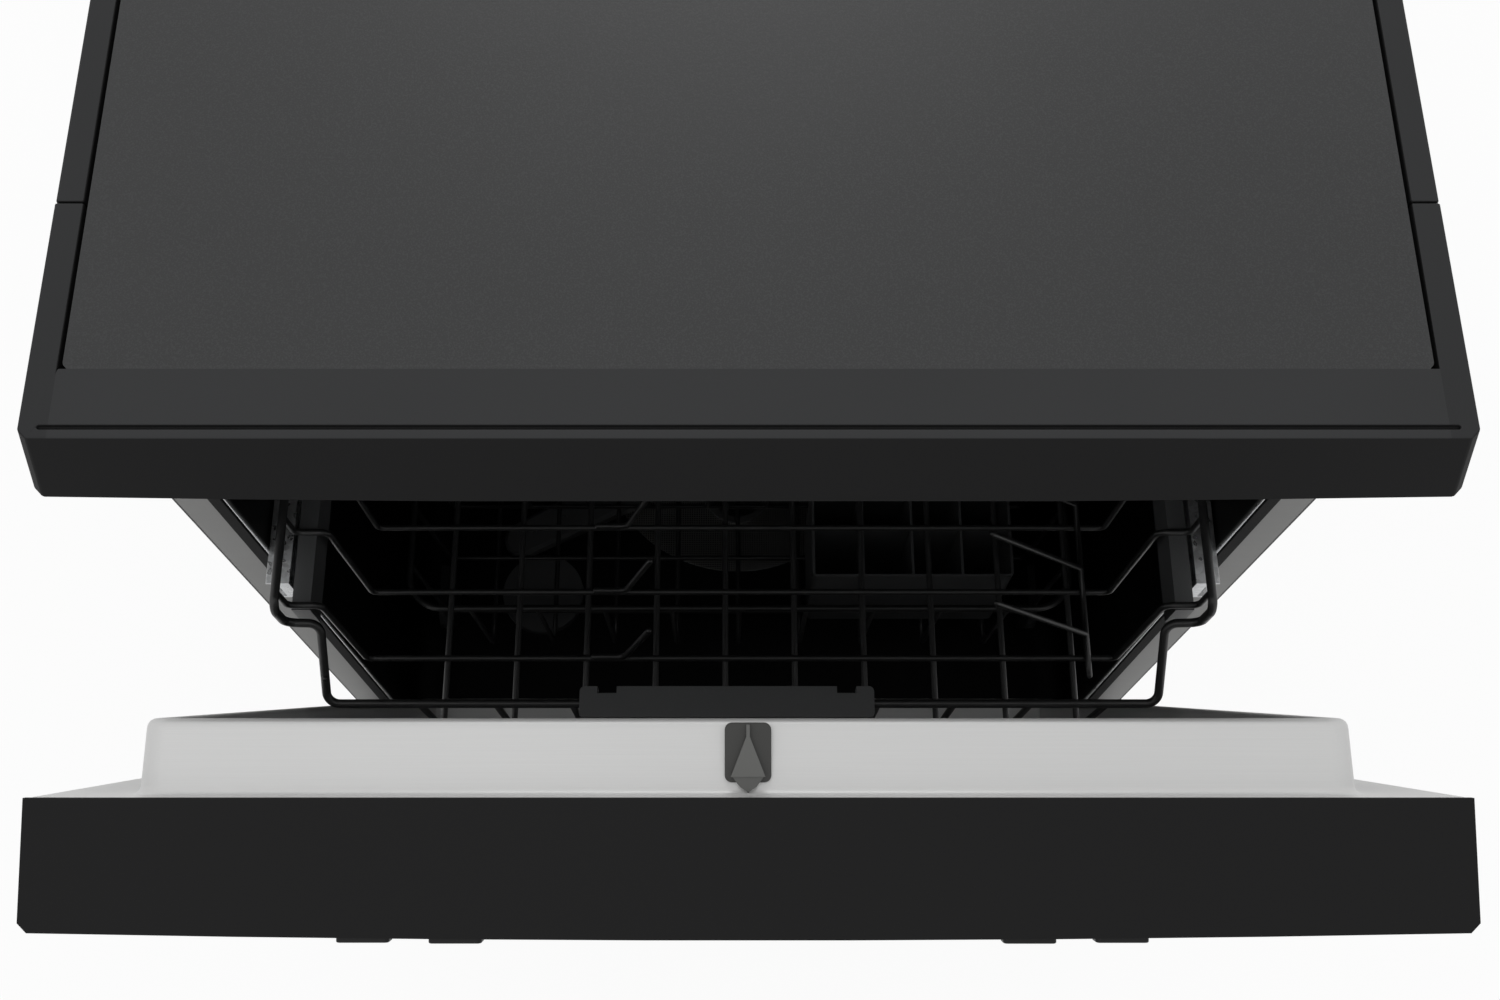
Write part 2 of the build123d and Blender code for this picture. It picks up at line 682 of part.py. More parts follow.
with BuildPart() as filter_plate:
    with BuildSketch(Plane.XY.offset(TUB_FLOOR)):
        with Locations((0, behind(SUMP_BEHIND))):
            Circle(PLATE_RADIUS)
            Circle(PLATE_POST_HOLE, mode=Mode.SUBTRACT)
        with Locations((0, FILTER_Y)):
            Circle(FILTER_RADIUS + SEAT_GAP, mode=Mode.SUBTRACT)
    extrude(amount=SHEET)
keep(filter_plate.part, "filter_plate")

with BuildPart() as filter_cup:
    rim_z = TUB_FLOOR + SHEET + SEAT_GAP
    rod((0, FILTER_Y, rim_z - FILTER_DROP), (0, 0, 1), FILTER_RADIUS, FILTER_DROP)
    rod((0, FILTER_Y, rim_z), (0, 0, 1), FILTER_RADIUS + FILTER_RIM, 2 * FILTER_WALL)
    rod(
        (0, FILTER_Y, rim_z - FILTER_DROP + FILTER_WALL),
        (0, 0, 1),
        FILTER_RADIUS - FILTER_WALL,
        FILTER_DROP + FILTER_RIM,
        mode=Mode.SUBTRACT,
    )
    block(
        (-FILTER_RADIUS, FILTER_RADIUS),
        (FILTER_Y - FILTER_RIM, FILTER_Y + FILTER_RIM),
        (rim_z, rim_z + HANDLE_HEIGHT),
    )
keep(filter_cup.part, "filter_cylinder")

# Pumps beside the sump
VOLUTE_RADIUS = 42.0
VOLUTE_WIDTH = 28.0
VOLUTE_WALL = 4.0
MOTOR_RADIUS = 39.0
MOTOR_LENGTH = 98.0
PUMP_GAP = 0.3
IMPELLER_RADIUS = 31.0
IMPELLER_DISC = 4.0
BLADE_COUNT = 6
BLADE_WIDTH = 9.0
BLADE_THICKNESS = 2.4
SHAFT_RADIUS = 3.0
SHAFT_LENGTH = 40.0
FOOT_BLOCK = 30.0
END_CAP = 8.0

PUMP_X = SUMP_RADIUS + PUMP_GAP
PUMP_Y = behind(SUMP_BEHIND)
VOLUTE_X = PUMP_X + PORT_RADIUS

with BuildPart() as circulation_pump:
    rod((PUMP_X, PUMP_Y, PORT_HEIGHT), (1, 0, 0), PORT_RADIUS, PORT_RADIUS)
    rod((VOLUTE_X, PUMP_Y, PORT_HEIGHT), (1, 0, 0), VOLUTE_RADIUS, VOLUTE_WIDTH)
    rod((VOLUTE_X + VOLUTE_WIDTH, PUMP_Y, PORT_HEIGHT), (1, 0, 0), MOTOR_RADIUS, MOTOR_LENGTH)
    rod(
        (VOLUTE_X + VOLUTE_WIDTH + MOTOR_LENGTH, PUMP_Y, PORT_HEIGHT),
        (1, 0, 0),
        MOTOR_RADIUS - END_CAP,
        END_CAP,
    )
    block(
        (VOLUTE_X + VOLUTE_WIDTH + FOOT_BLOCK, VOLUTE_X + VOLUTE_WIDTH + 2 * FOOT_BLOCK),
        (PUMP_Y - FOOT_BLOCK, PUMP_Y + FOOT_BLOCK),
        (BASE_BOTTOM + BASE_WALL, PORT_HEIGHT - FOOT_BLOCK / 2),
    )
    rod(
        (PUMP_X - CUT, PUMP_Y, PORT_HEIGHT),
        (1, 0, 0),
        PORT_RADIUS - SUMP_WALL,
        PORT_RADIUS + 2 * CUT,
        mode=Mode.SUBTRACT,
    )
    rod(
        (VOLUTE_X + VOLUTE_WALL, PUMP_Y, PORT_HEIGHT),
        (1, 0, 0),
        VOLUTE_RADIUS - VOLUTE_WALL,
        VOLUTE_WIDTH - 2 * VOLUTE_WALL,
        mode=Mode.SUBTRACT,
    )
    rod(
        (VOLUTE_X + VOLUTE_WIDTH - 2 * VOLUTE_WALL, PUMP_Y, PORT_HEIGHT),
        (1, 0, 0),
        SHAFT_RADIUS + FIT,
        SHAFT_LENGTH + CUT,
        mode=Mode.SUBTRACT,
    )
keep(circulation_pump.part, "circulation_pump")

with BuildPart() as impeller:
    disc_x = VOLUTE_X + VOLUTE_WIDTH - VOLUTE_WALL - PUMP_GAP - IMPELLER_DISC
    rod((disc_x, PUMP_Y, PORT_HEIGHT), (1, 0, 0), IMPELLER_RADIUS, IMPELLER_DISC)
    rod((disc_x, PUMP_Y, PORT_HEIGHT), (1, 0, 0), SHAFT_RADIUS, SHAFT_LENGTH)
    with BuildSketch(Plane(origin=(disc_x, PUMP_Y, PORT_HEIGHT), x_dir=(0, 1, 0), z_dir=(-1, 0, 0))):
        with PolarLocations(IMPELLER_RADIUS / 2, BLADE_COUNT):
            Rectangle(IMPELLER_RADIUS - BLADE_THICKNESS, BLADE_THICKNESS)
    extrude(amount=BLADE_WIDTH)
keep(impeller.part, "pump_impeller")

DRAIN_VOLUTE = 26.0
DRAIN_WIDTH = 22.0
DRAIN_MOTOR = 22.0
DRAIN_MOTOR_LENGTH = 46.0
DRAIN_FOOT = 18.0

with BuildPart() as drain_pump:
    volute_x = -SUMP_RADIUS - PUMP_GAP
    rod((volute_x, PUMP_Y, PORT_HEIGHT), (-1, 0, 0), DRAIN_VOLUTE, DRAIN_WIDTH)
    rod((volute_x - DRAIN_WIDTH, PUMP_Y, PORT_HEIGHT), (-1, 0, 0), DRAIN_MOTOR, DRAIN_MOTOR_LENGTH)
    block(
        (volute_x - DRAIN_WIDTH - DRAIN_FOOT, volute_x - DRAIN_WIDTH),
        (PUMP_Y - DRAIN_FOOT, PUMP_Y + DRAIN_FOOT),
        (BASE_BOTTOM + BASE_WALL, PORT_HEIGHT),
    )
    rod(
        (DRAIN_X, PUMP_Y, DRAIN_HEIGHT),
        (0, 1, 0),
        SPIGOT_RADIUS + COLLAR_EXTRA,
        RECESS_Y + COLLAR_PROUD - PUMP_Y,
    )
    rod((DRAIN_X, RECESS_Y + COLLAR_PROUD, DRAIN_HEIGHT), (0, 1, 0), SPIGOT_RADIUS, SPIGOT_LENGTH)
    rod(
        (DRAIN_X, PUMP_Y + DRAIN_VOLUTE, DRAIN_HEIGHT),
        (0, 1, 0),
        SPIGOT_RADIUS - SUMP_WALL,
        RECESS_Y + SPIGOT_LENGTH - PUMP_Y,
        mode=Mode.SUBTRACT,
    )
keep(drain_pump.part, "drain_pump")

# Water softener with its salt neck through the tub floor, and the neck's cap
TANK_SIDE = 112.0
TANK_TOP = 133.0
NECK_COLLAR = 32.0
NECK_RADIUS = 26.0
NECK_TOP = 146.0
NECK_WALL = 3.0
CAP_RADIUS = 34.0
CAP_TOP = 149.0
CAP_GRIP = 4.0
SALT_Y = behind(SALT_BEHIND)

with BuildPart() as softener:
    block(
        (SALT_X - TANK_SIDE / 2, SALT_X + TANK_SIDE / 2),
        (SALT_Y - TANK_SIDE / 2, SALT_Y + TANK_SIDE / 2),
        (BASE_BOTTOM + BASE_WALL, TANK_TOP),
    )
    fillet(softener.edges().filter_by(Axis.Z), TANK_SIDE / 10)
    rod((SALT_X, SALT_Y, TANK_TOP), (0, 0, 1), NECK_COLLAR, TUB_FLOOR - SHEET - TANK_TOP)
    rod((SALT_X, SALT_Y, TANK_TOP), (0, 0, 1), NECK_RADIUS, NECK_TOP - TANK_TOP)
    rod(
        (SALT_X, SALT_Y, BASE_BOTTOM + 3 * BASE_WALL),
        (0, 0, 1),
        NECK_RADIUS - NECK_WALL,
        HEIGHT,
        mode=Mode.SUBTRACT,
    )
keep(softener.part, "softener_tank")

with BuildPart() as salt_cap:
    cap_z = TUB_FLOOR + SEAT_GAP
    rod((SALT_X, SALT_Y, cap_z), (0, 0, 1), CAP_RADIUS, CAP_TOP - cap_z)
    rod(
        (SALT_X, SALT_Y, cap_z - CUT),
        (0, 0, 1),
        NECK_RADIUS + SEAT_GAP,
        NECK_TOP + SEAT_GAP - cap_z + CUT,
        mode=Mode.SUBTRACT,
    )
    with Locations((SALT_X, SALT_Y, CAP_TOP + CAP_GRIP / 2)):
        Box(1.5 * CAP_RADIUS, CAP_GRIP, CAP_GRIP)
keep(salt_cap.part, "salt_cap")

# Water intake box in the gap beside the tub
INTAKE_THICKNESS = 15.5
INTAKE_BEHIND = (130.0, 330.0)
INTAKE_HEIGHT = (250.0, 620.0)
INTAKE_CORNER = 16.0
INTAKE_RIB = 3.0
INTAKE_GROOVES = 6

with BuildPart() as intake_box:
    with BuildSketch(Plane.YZ.offset(-PANEL_INNER + SEAT_GAP)):
        with Locations((behind(sum(INTAKE_BEHIND) / 2), sum(INTAKE_HEIGHT) / 2)):
            RectangleRounded(
                INTAKE_BEHIND[1] - INTAKE_BEHIND[0],
                INTAKE_HEIGHT[1] - INTAKE_HEIGHT[0],
                INTAKE_CORNER,
            )
    extrude(amount=INTAKE_THICKNESS)
    with BuildSketch(Plane.YZ.offset(-PANEL_INNER + SEAT_GAP + INTAKE_THICKNESS)):
        with Locations((behind(sum(INTAKE_BEHIND) / 2), sum(INTAKE_HEIGHT) / 2)):
            with GridLocations(0, 3 * INTAKE_CORNER, 1, INTAKE_GROOVES):
                Rectangle(8 * INTAKE_CORNER, INTAKE_CORNER)
    extrude(amount=-INTAKE_RIB, mode=Mode.SUBTRACT)
keep(intake_box.part, "water_intake_box")

# Leak float in the base tray, on a pin
FLOAT_X = 90.0
FLOAT_BEHIND = 90.0
FLOAT_RADIUS = 24.0
FLOAT_HEIGHT = 18.0
FLOAT_STEM = 5.0
FLOAT_STEM_TOP = 92.0

with BuildPart() as leak_float:
    float_z = BASE_BOTTOM + BASE_WALL + SEAT_GAP
    rod((FLOAT_X, behind(FLOAT_BEHIND), float_z), (0, 0, 1), FLOAT_RADIUS, FLOAT_HEIGHT)
    rod((FLOAT_X, behind(FLOAT_BEHIND), float_z), (0, 0, 1), FLOAT_STEM, FLOAT_STEM_TOP - float_z)
keep(leak_float.part, "leak_float")

# Feed pipe along the tub floor and up its back wall, to the upper rack's docking nozzle
PIPE_HALF = 16.0
PIPE_DEPTH = 18.0
PIPE_FOOT = 9.0
NOZZLE_DROP = 18.0
NOZZLE_RADIUS = 12.0
NOZZLE_BORE = 7.0
NOZZLE_LENGTH = 9.0
PIPE_ROUND = 5.0

NOZZLE_HEIGHT = RACK_FLOOR_HEIGHT - NOZZLE_DROP

with BuildPart() as feed_pipe:
    pipe_back = behind(TUB_LENGTH - SEAT_GAP)
    block(
        (-PIPE_HALF, PIPE_HALF),
        (pipe_back - PIPE_DEPTH, pipe_back),
        (TUB_FLOOR + SEAT_GAP, NOZZLE_HEIGHT + PIPE_DEPTH),
    )
    fillet(feed_pipe.edges().filter_by(Axis.Z).group_by(Axis.Y)[0], PIPE_ROUND)
    block(
        (-PIPE_HALF, PIPE_HALF),
        (behind(SUMP_BEHIND + PLATE_RADIUS + SHEET), pipe_back - PIPE_DEPTH / 2),
        (TUB_FLOOR + SEAT_GAP, TUB_FLOOR + PIPE_FOOT),
    )
    rod((0, pipe_back - PIPE_DEPTH, NOZZLE_HEIGHT), (0, -1, 0), NOZZLE_RADIUS, NOZZLE_LENGTH)
    rod(
        (0, pipe_back - PIPE_DEPTH / 2, NOZZLE_HEIGHT),
        (0, -1, 0),
        NOZZLE_BORE,
        2 * PIPE_DEPTH,
        mode=Mode.SUBTRACT,
    )
keep(feed_pipe.part, "feed_pipe")

# Spray arms: a hollow hub on a post, and a tapering blade with a row of jets on each side
ARM_HUB = 21.0
ARM_BLADE_ROOT = 44.0
ARM_BLADE_TIP = 30.0
ARM_THICKNESS = 12.0
JET_RADIUS = 2.0
JET_SPAN_SHARES = (0.3, 0.45, 0.6, 0.75, 0.88)
JET_DEPTH = 2.5
LOWER_ARM_RADIUS = 222.0
LOWER_ARM_HEIGHT = 156.0
LOWER_ARM_TURN = 28.0
UPPER_ARM_RADIUS = 200.0
UPPER_ARM_DROP = 25.5
UPPER_ARM_TURN = 14.0
PIPE_RADIUS = 10.0
ARM_SPINDLE = 8.0

UPPER_ARM_HEIGHT = NOZZLE_HEIGHT - UPPER_ARM_DROP


def spray_arm(place, reach, turn, post_radius, post_room):
    """Spray arm about a vertical post, its blade turned from the X axis."""
    bottom = Plane(origin=place, x_dir=(cos(radians(turn)), sin(radians(turn)), 0), z_dir=(0, 0, 1))
    with BuildPart() as arm:
        with BuildSketch(bottom):
            with BuildLine():
                Polyline(
                    (0, -ARM_BLADE_ROOT / 2),
                    (reach - ARM_BLADE_TIP / 2, -ARM_BLADE_TIP / 2),
                )
                ThreePointArc(
                    (reach - ARM_BLADE_TIP / 2, -ARM_BLADE_TIP / 2),
                    (reach, 0),
                    (reach - ARM_BLADE_TIP / 2, ARM_BLADE_TIP / 2),
                )
                Polyline(
                    (reach - ARM_BLADE_TIP / 2, ARM_BLADE_TIP / 2),
                    (0, ARM_BLADE_ROOT / 2),
                    (-reach + ARM_BLADE_TIP / 2, ARM_BLADE_TIP / 2),
                )
                ThreePointArc(
                    (-reach + ARM_BLADE_TIP / 2, ARM_BLADE_TIP / 2),
                    (-reach, 0),
                    (-reach + ARM_BLADE_TIP / 2, -ARM_BLADE_TIP / 2),
                )
                Line((-reach + ARM_BLADE_TIP / 2, -ARM_BLADE_TIP / 2), (0, -ARM_BLADE_ROOT / 2))
            make_face()
        extrude(amount=ARM_THICKNESS)
        chamfer(arm.faces().sort_by(Axis.Z)[-1].edges(), ARM_THICKNESS / 4)
        rod(place, (0, 0, 1), ARM_HUB, ARM_THICKNESS + JET_DEPTH)
        with BuildSketch(bottom.offset(ARM_THICKNESS)):
            for share in JET_SPAN_SHARES:
                with Locations((share * reach, 0), (-share * reach, 0)):
                    Circle(JET_RADIUS)
        extrude(amount=-JET_DEPTH, mode=Mode.SUBTRACT)
        hole_start = Vector(place) - Vector(0, 0, CUT)
        rod(hole_start, (0, 0, 1), post_radius + FIT, post_room + CUT, mode=Mode.SUBTRACT)
    return arm.part


lower_arm_place = (0, behind(SUMP_BEHIND), LOWER_ARM_HEIGHT)
lower_arm = spray_arm(
    lower_arm_place,
    LOWER_ARM_RADIUS,
    LOWER_ARM_TURN,
    ARM_POST,
    2 * ARM_THICKNESS,
)
keep(lower_arm, "lower_spray_arm")

# Upper rack: places along it are counted back from its rim's front end
RIM_WIRE = 2.5
WIRE = 1.9
WELD = 0.5
RIM_DROP = 26.0
RIM_STEP = 19.0
SIDE_LEAN = 2.0
CROSS_PITCH = 43.3
CROSS_COUNT = 11
CROSS_FIRST = 2.0
LONG_PITCH = 43.5
LONG_COUNT = 10
LONG_SHIFT = 11.75
BAR_AHEAD = 38.0
BAR_DROP = 60.0
LOOP_AHEAD = 8.0
WIRE_BEND = 7.0
RACK_REAR_LEAN = 4.0

HALF_RACK = RACK_WIDTH / 2
RACK_FRONT_Y = SEAL_Y - RACK_FRONT
RACK_REAR_Y = RACK_FRONT_Y + RACK_LENGTH
BAR_HEIGHT = RACK_RIM_HEIGHT - BAR_DROP
LOOP_Y = RACK_FRONT_Y - LOOP_AHEAD
BAR_Y = LOOP_Y - BAR_AHEAD
LONG_HEIGHT = RACK_FLOOR_HEIGHT - 2 * WIRE + WELD


def wire(points, radius, bend, closed=False):
    """Round wire along straight runs with rounded bends."""
    with BuildPart() as bent:
        with BuildLine() as path:
            if len(points) > 2:
                FilletPolyline(*points, radius=bend, close=closed)
            else:
                Line(*points)
        start = path.line @ 0
        along = path.line % 0
        with BuildSketch(Plane(origin=start, z_dir=along)):
            Circle(radius)
        sweep(path=path.line)
    return bent.part


def mirrored(points):
    """The points, then the same ones back on the other side of the cabinet's middle."""
    return list(points) + [(-x, y, z) for x, y, z in reversed(points)]


rack_wires = [
    wire(
        mirrored(
            [
                (0, RACK_REAR_Y, RACK_RIM_HEIGHT),
                (-HALF_RACK, RACK_REAR_Y, RACK_RIM_HEIGHT),
                (-HALF_RACK, LOOP_Y, RACK_RIM_HEIGHT),
                (-HALF_RACK, LOOP_Y, RACK_RIM_HEIGHT - RIM_DROP),
                (-HALF_RACK + RIM_STEP, LOOP_Y, RACK_RIM_HEIGHT - RIM_DROP - SIDE_LEAN),
                (-HALF_RACK + RIM_STEP, BAR_Y, BAR_HEIGHT),
            ]
        )[1:-1],
        RIM_WIRE,
        WIRE_BEND,
        closed=True,
    )
]
cross_places = [
    RACK_FRONT_Y + CROSS_FIRST + CROSS_PITCH * number
    for number in range(CROSS_COUNT)
    if CROSS_FIRST + CROSS_PITCH * number < RACK_LENGTH
]
for cross_y in cross_places:
    rack_wires.append(
        wire(
            mirrored(
                [
                    (-HALF_RACK, cross_y, RACK_RIM_HEIGHT),
                    (-HALF_RACK, cross_y, RACK_RIM_HEIGHT - RIM_DROP),
                    (-HALF_RACK + RIM_STEP, cross_y, RACK_RIM_HEIGHT - RIM_DROP),
                    (-HALF_RACK + RIM_STEP + SIDE_LEAN, cross_y, RACK_FLOOR_HEIGHT),
                ]
            ),
            WIRE,
            WIRE_BEND - SIDE_LEAN,
        )
    )
long_places = [
    (number - (LONG_COUNT - 1) / 2) * LONG_PITCH + LONG_SHIFT for number in range(LONG_COUNT)
]
for long_x in long_places:
    rack_wires.append(
        wire(
            [
                (long_x, RACK_REAR_Y, RACK_RIM_HEIGHT),
                (long_x, RACK_REAR_Y - RACK_REAR_LEAN, LONG_HEIGHT),
                (long_x, BAR_Y + RACK_REAR_LEAN, LONG_HEIGHT),
                (long_x, BAR_Y, BAR_HEIGHT),
            ],
            WIRE,
            WIRE_BEND,
        )
    )
TINE_HEIGHT = 62.0
TINE_X = -73.0
TINE_LEAN = 18.0
for cross_y in cross_places[:-1]:
    rack_wires.append(
        wire(
            [
                (TINE_X - RIM_STEP, cross_y, RACK_FLOOR_HEIGHT + 2 * WIRE - WELD),
                (TINE_X, cross_y, RACK_FLOOR_HEIGHT + 2 * WIRE - WELD),
                (TINE_X + TINE_LEAN, cross_y, RACK_FLOOR_HEIGHT + TINE_HEIGHT),
            ],
            WIRE,
            WIRE_BEND,
        )
    )
with BuildPart() as upper_basket:
    add(rack_wires)
keep(upper_basket.part, "upper_rack_basket")

# Handle round the rack's front bar
HANDLE_LENGTH = 167.0
HANDLE_SHIFT = -9.0
HANDLE_DEPTH = 18.0
HANDLE_TALL = 10.0
HANDLE_ROUND = 3.0
NOTCH_INSET = 10.0
NOTCH_LENGTH = 11.0
NOTCH_DEPTH = 4.0

with BuildPart() as rack_handle:
    block(
        (HANDLE_SHIFT - HANDLE_LENGTH / 2, HANDLE_SHIFT + HANDLE_LENGTH / 2),
        (BAR_Y - HANDLE_DEPTH / 2, BAR_Y + HANDLE_DEPTH / 2),
        (BAR_HEIGHT - HANDLE_TALL / 2, BAR_HEIGHT + HANDLE_TALL / 2),
    )
    fillet(rack_handle.edges().filter_by(Axis.Z), HANDLE_ROUND)
    for end in (-1, 1):
        notch = HANDLE_SHIFT + end * (HANDLE_LENGTH / 2 - NOTCH_INSET - NOTCH_LENGTH / 2)
        block(
            (notch - NOTCH_LENGTH / 2, notch + NOTCH_LENGTH / 2),
            (BAR_Y + HANDLE_DEPTH / 2 - NOTCH_DEPTH, BAR_Y + HANDLE_DEPTH),
            (BAR_HEIGHT - HANDLE_TALL, BAR_HEIGHT + HANDLE_TALL),
            mode=Mode.SUBTRACT,
        )
    rod(
        (-HALF_RACK, BAR_Y, BAR_HEIGHT),
        (1, 0, 0),
        RIM_WIRE + FIT,
        RACK_WIDTH,
        mode=Mode.SUBTRACT,
    )
    for long_x in long_places:
        block(
            (long_x - WIRE - SEAT_GAP, long_x + WIRE + SEAT_GAP),
            (BAR_Y - WIRE - SEAT_GAP, BAR_Y + WIRE + RACK_REAR_LEAN),
            (BAR_HEIGHT - HANDLE_TALL, BAR_HEIGHT + WIRE),
            mode=Mode.SUBTRACT,
        )
keep(rack_handle.part, "upper_rack_handle")

# Carriers under the rack's stepped sides, with the pins of its rollers
CARRIER_ROOM = 18.0
CARRIER_WIDTH = 10.4
CARRIER_DROP = 10.0
RACK_ROLLER_BEHIND = (200.0, 470.0)
LEVER_LENGTH = 42.0
LEVER_BEHIND = 150.0
LEVER_TALL = 34.0
LEVER_THICKNESS = 4.0
WEB_ROOM = 9.0
RAIL_SHEET = 1.2
RAIL_ROOMS = (14.8, 1.4)
RACK_ROLLER_ROOM = 14.4

CARRIER_OUTER = HALF_TUB - CARRIER_ROOM
CARRIER_INNER = CARRIER_OUTER - CARRIER_WIDTH
RAIL_WEB = HALF_TUB - WEB_ROOM
RAIL_EDGES = tuple(HALF_TUB - room for room in RAIL_ROOMS)
RACK_ROLLER_X = HALF_TUB - RACK_ROLLER_ROOM
rack_out = DOOR_OPEN * RACK_TRAVEL
STEP_HEIGHT = RACK_RIM_HEIGHT - RIM_DROP - WIRE
rack_roller_ys = [behind(place - rack_out) for place in RACK_ROLLER_BEHIND]

with BuildPart() as carriers:
    for hand in (-1, 1):
        block(
            (hand * CARRIER_INNER, hand * CARRIER_OUTER),
            (RACK_FRONT_Y, rack_roller_ys[-1] + 2 * ROLLER_RADIUS / 3),
            (RAIL_HEIGHT - CARRIER_DROP, STEP_HEIGHT - SEAT_GAP),
        )
        lever_y = RACK_FRONT_Y + LEVER_BEHIND
        block(
            (hand * (CARRIER_INNER - LEVER_THICKNESS), hand * CARRIER_INNER),
            (lever_y - LEVER_LENGTH / 2, lever_y + LEVER_LENGTH / 2),
            (STEP_HEIGHT - SEAT_GAP - LEVER_TALL, STEP_HEIGHT - SEAT_GAP - LEVER_THICKNESS),
        )
        for roller_y in rack_roller_ys:
            rod(
                (hand * CARRIER_OUTER, roller_y, RAIL_HEIGHT),
                (hand, 0, 0),
                ROLLER_PIN,
                RAIL_WEB - SEAT_GAP - CARRIER_OUTER,
            )
keep(carriers.part, "rack_carriers")

for roller_y, name in zip(rack_roller_ys, ("rack_front_rollers", "rack_rear_rollers")):
    with BuildPart() as rack_rollers:
        for hand in (-1, 1):
            rod((hand * RACK_ROLLER_X, roller_y, RAIL_HEIGHT), (hand, 0, 0), ROLLER_RADIUS, ROLLER_WIDTH)
            rod(
                (hand * CARRIER_OUTER, roller_y, RAIL_HEIGHT),
                (hand, 0, 0),
                ROLLER_PIN + FIT,
                2 * ROLLER_WIDTH + CUT,
                mode=Mode.SUBTRACT,
            )
    keep(rack_rollers.part, name)

for roller, name in zip(TUB_ROLLER_BEHIND, ("tub_front_rollers", "tub_rear_rollers")):
    with BuildPart() as tub_rollers:
        for hand in (-1, 1):
            start = (hand * (HALF_TUB - ROLLER_SIDE), behind(roller), RAIL_HEIGHT)
            rod(start, (-hand, 0, 0), ROLLER_RADIUS, ROLLER_WIDTH)
            rod(
                (hand * HALF_TUB, behind(roller), RAIL_HEIGHT),
                (-hand, 0, 0),
                ROLLER_PIN + FIT,
                2 * ROLLER_WIDTH,
                mode=Mode.SUBTRACT,
            )
    keep(tub_rollers.part, name)

# Slide rails: an H section whose outer channel runs on the tub rollers
RAIL_LENGTH = 456.0
RAIL_FRONT_CLOSED = 34.0
RAIL_TALL = 2 * (ROLLER_RADIUS + SEAT_GAP + RAIL_SHEET)
RAIL_STOP = 3.0

rail_front_y = behind(RAIL_FRONT_CLOSED - rack_out * RAIL_SHARE)

with BuildPart() as rails:
    for hand in (-1, 1):
        for z_low in (RAIL_HEIGHT - RAIL_TALL / 2, RAIL_HEIGHT + RAIL_TALL / 2 - RAIL_SHEET):
            block(
                (hand * RAIL_EDGES[0], hand * RAIL_EDGES[1]),
                (rail_front_y, rail_front_y + RAIL_LENGTH),
                (z_low, z_low + RAIL_SHEET),
            )
        block(
            (hand * RAIL_WEB, hand * (RAIL_WEB + RAIL_SHEET)),
            (rail_front_y, rail_front_y + RAIL_LENGTH),
            (RAIL_HEIGHT - RAIL_TALL / 2, RAIL_HEIGHT + RAIL_TALL / 2),
        )
        block(
            (hand * RAIL_EDGES[0], hand * RAIL_WEB),
            (rail_front_y, rail_front_y + RAIL_STOP),
            (RAIL_HEIGHT - RAIL_TALL / 2, RAIL_HEIGHT + RAIL_TALL / 2),
        )
keep(rails.part, "slide_rails")

# Supply pipe under the upper rack, and the upper spray arm on its spindle
SADDLE = 12.0
SADDLE_BEHIND = (60.0, 215.0)
SPINDLE_CAP = 12.0
SPINDLE_CAP_TALL = 3.0
DOCK_GAP = 1.0
dock_y = behind(TUB_LENGTH - SEAT_GAP - PIPE_DEPTH - NOZZLE_LENGTH - DOCK_GAP - rack_out)
rack_middle_y = (BAR_Y + RACK_REAR_Y) / 2
pipe_top = LONG_HEIGHT - WIRE - SEAT_GAP

with BuildPart() as supply_pipe:
    rod(
        (0, rack_middle_y - PIPE_RADIUS, NOZZLE_HEIGHT),
        (0, 1, 0),
        PIPE_RADIUS,
        dock_y - rack_middle_y + PIPE_RADIUS,
    )
    for place in SADDLE_BEHIND:
        block(
            (-SADDLE, SADDLE),
            (rack_middle_y + place - SADDLE, rack_middle_y + place + SADDLE),
            (NOZZLE_HEIGHT, pipe_top),
        )
    rod(
        (0, rack_middle_y, UPPER_ARM_HEIGHT - SEAT_GAP),
        (0, 0, 1),
        ARM_SPINDLE,
        NOZZLE_HEIGHT - UPPER_ARM_HEIGHT,
    )
    rod(
        (0, rack_middle_y, UPPER_ARM_HEIGHT - SEAT_GAP),
        (0, 0, -1),
        SPINDLE_CAP,
        SPINDLE_CAP_TALL,
    )
    rod(
        (0, rack_middle_y + SADDLE, NOZZLE_HEIGHT),
        (0, 1, 0),
        NOZZLE_BORE,
        RACK_LENGTH,
        mode=Mode.SUBTRACT,
    )
keep(supply_pipe.part, "rack_supply_pipe")

upper_arm = spray_arm(
    (0, rack_middle_y, UPPER_ARM_HEIGHT),
    UPPER_ARM_RADIUS,
    UPPER_ARM_TURN,
    ARM_SPINDLE,
    2 * ARM_THICKNESS,
)
keep(upper_arm, "upper_spray_arm")

# Folding row of tines on the upper rack's right side
FOLD_INSET = 39.0
FOLD_TINE = 94.0
FOLD_ANGLE = 45.0
FOLD_END = 12.0

FOLD_X = HALF_RACK - FOLD_INSET
fold_z = RACK_FLOOR_HEIGHT + 2 * WIRE + SEAT_GAP
fold_wires = [
    wire(
        [
            (FOLD_X, cross_places[0] - FOLD_END, fold_z),
            (FOLD_X, cross_places[-2] + FOLD_END, fold_z),
        ],
        WIRE,
        0,
    )
]
for cross_y in cross_places[:-1]:
    tine_y = cross_y + CROSS_PITCH / 3
    if tine_y < cross_places[-2] + FOLD_END:
        fold_wires.append(
            wire(
                [
                    (FOLD_X, tine_y, fold_z),
                    (
                        FOLD_X - FOLD_TINE * cos(radians(FOLD_ANGLE)),
                        tine_y,
                        fold_z + FOLD_TINE * sin(radians(FOLD_ANGLE)),
                    ),
                ],
                WIRE,
                0,
            )
        )
with BuildPart() as fold_tines:
    add(fold_wires)
keep(fold_tines.part, "upper_rack_tines")

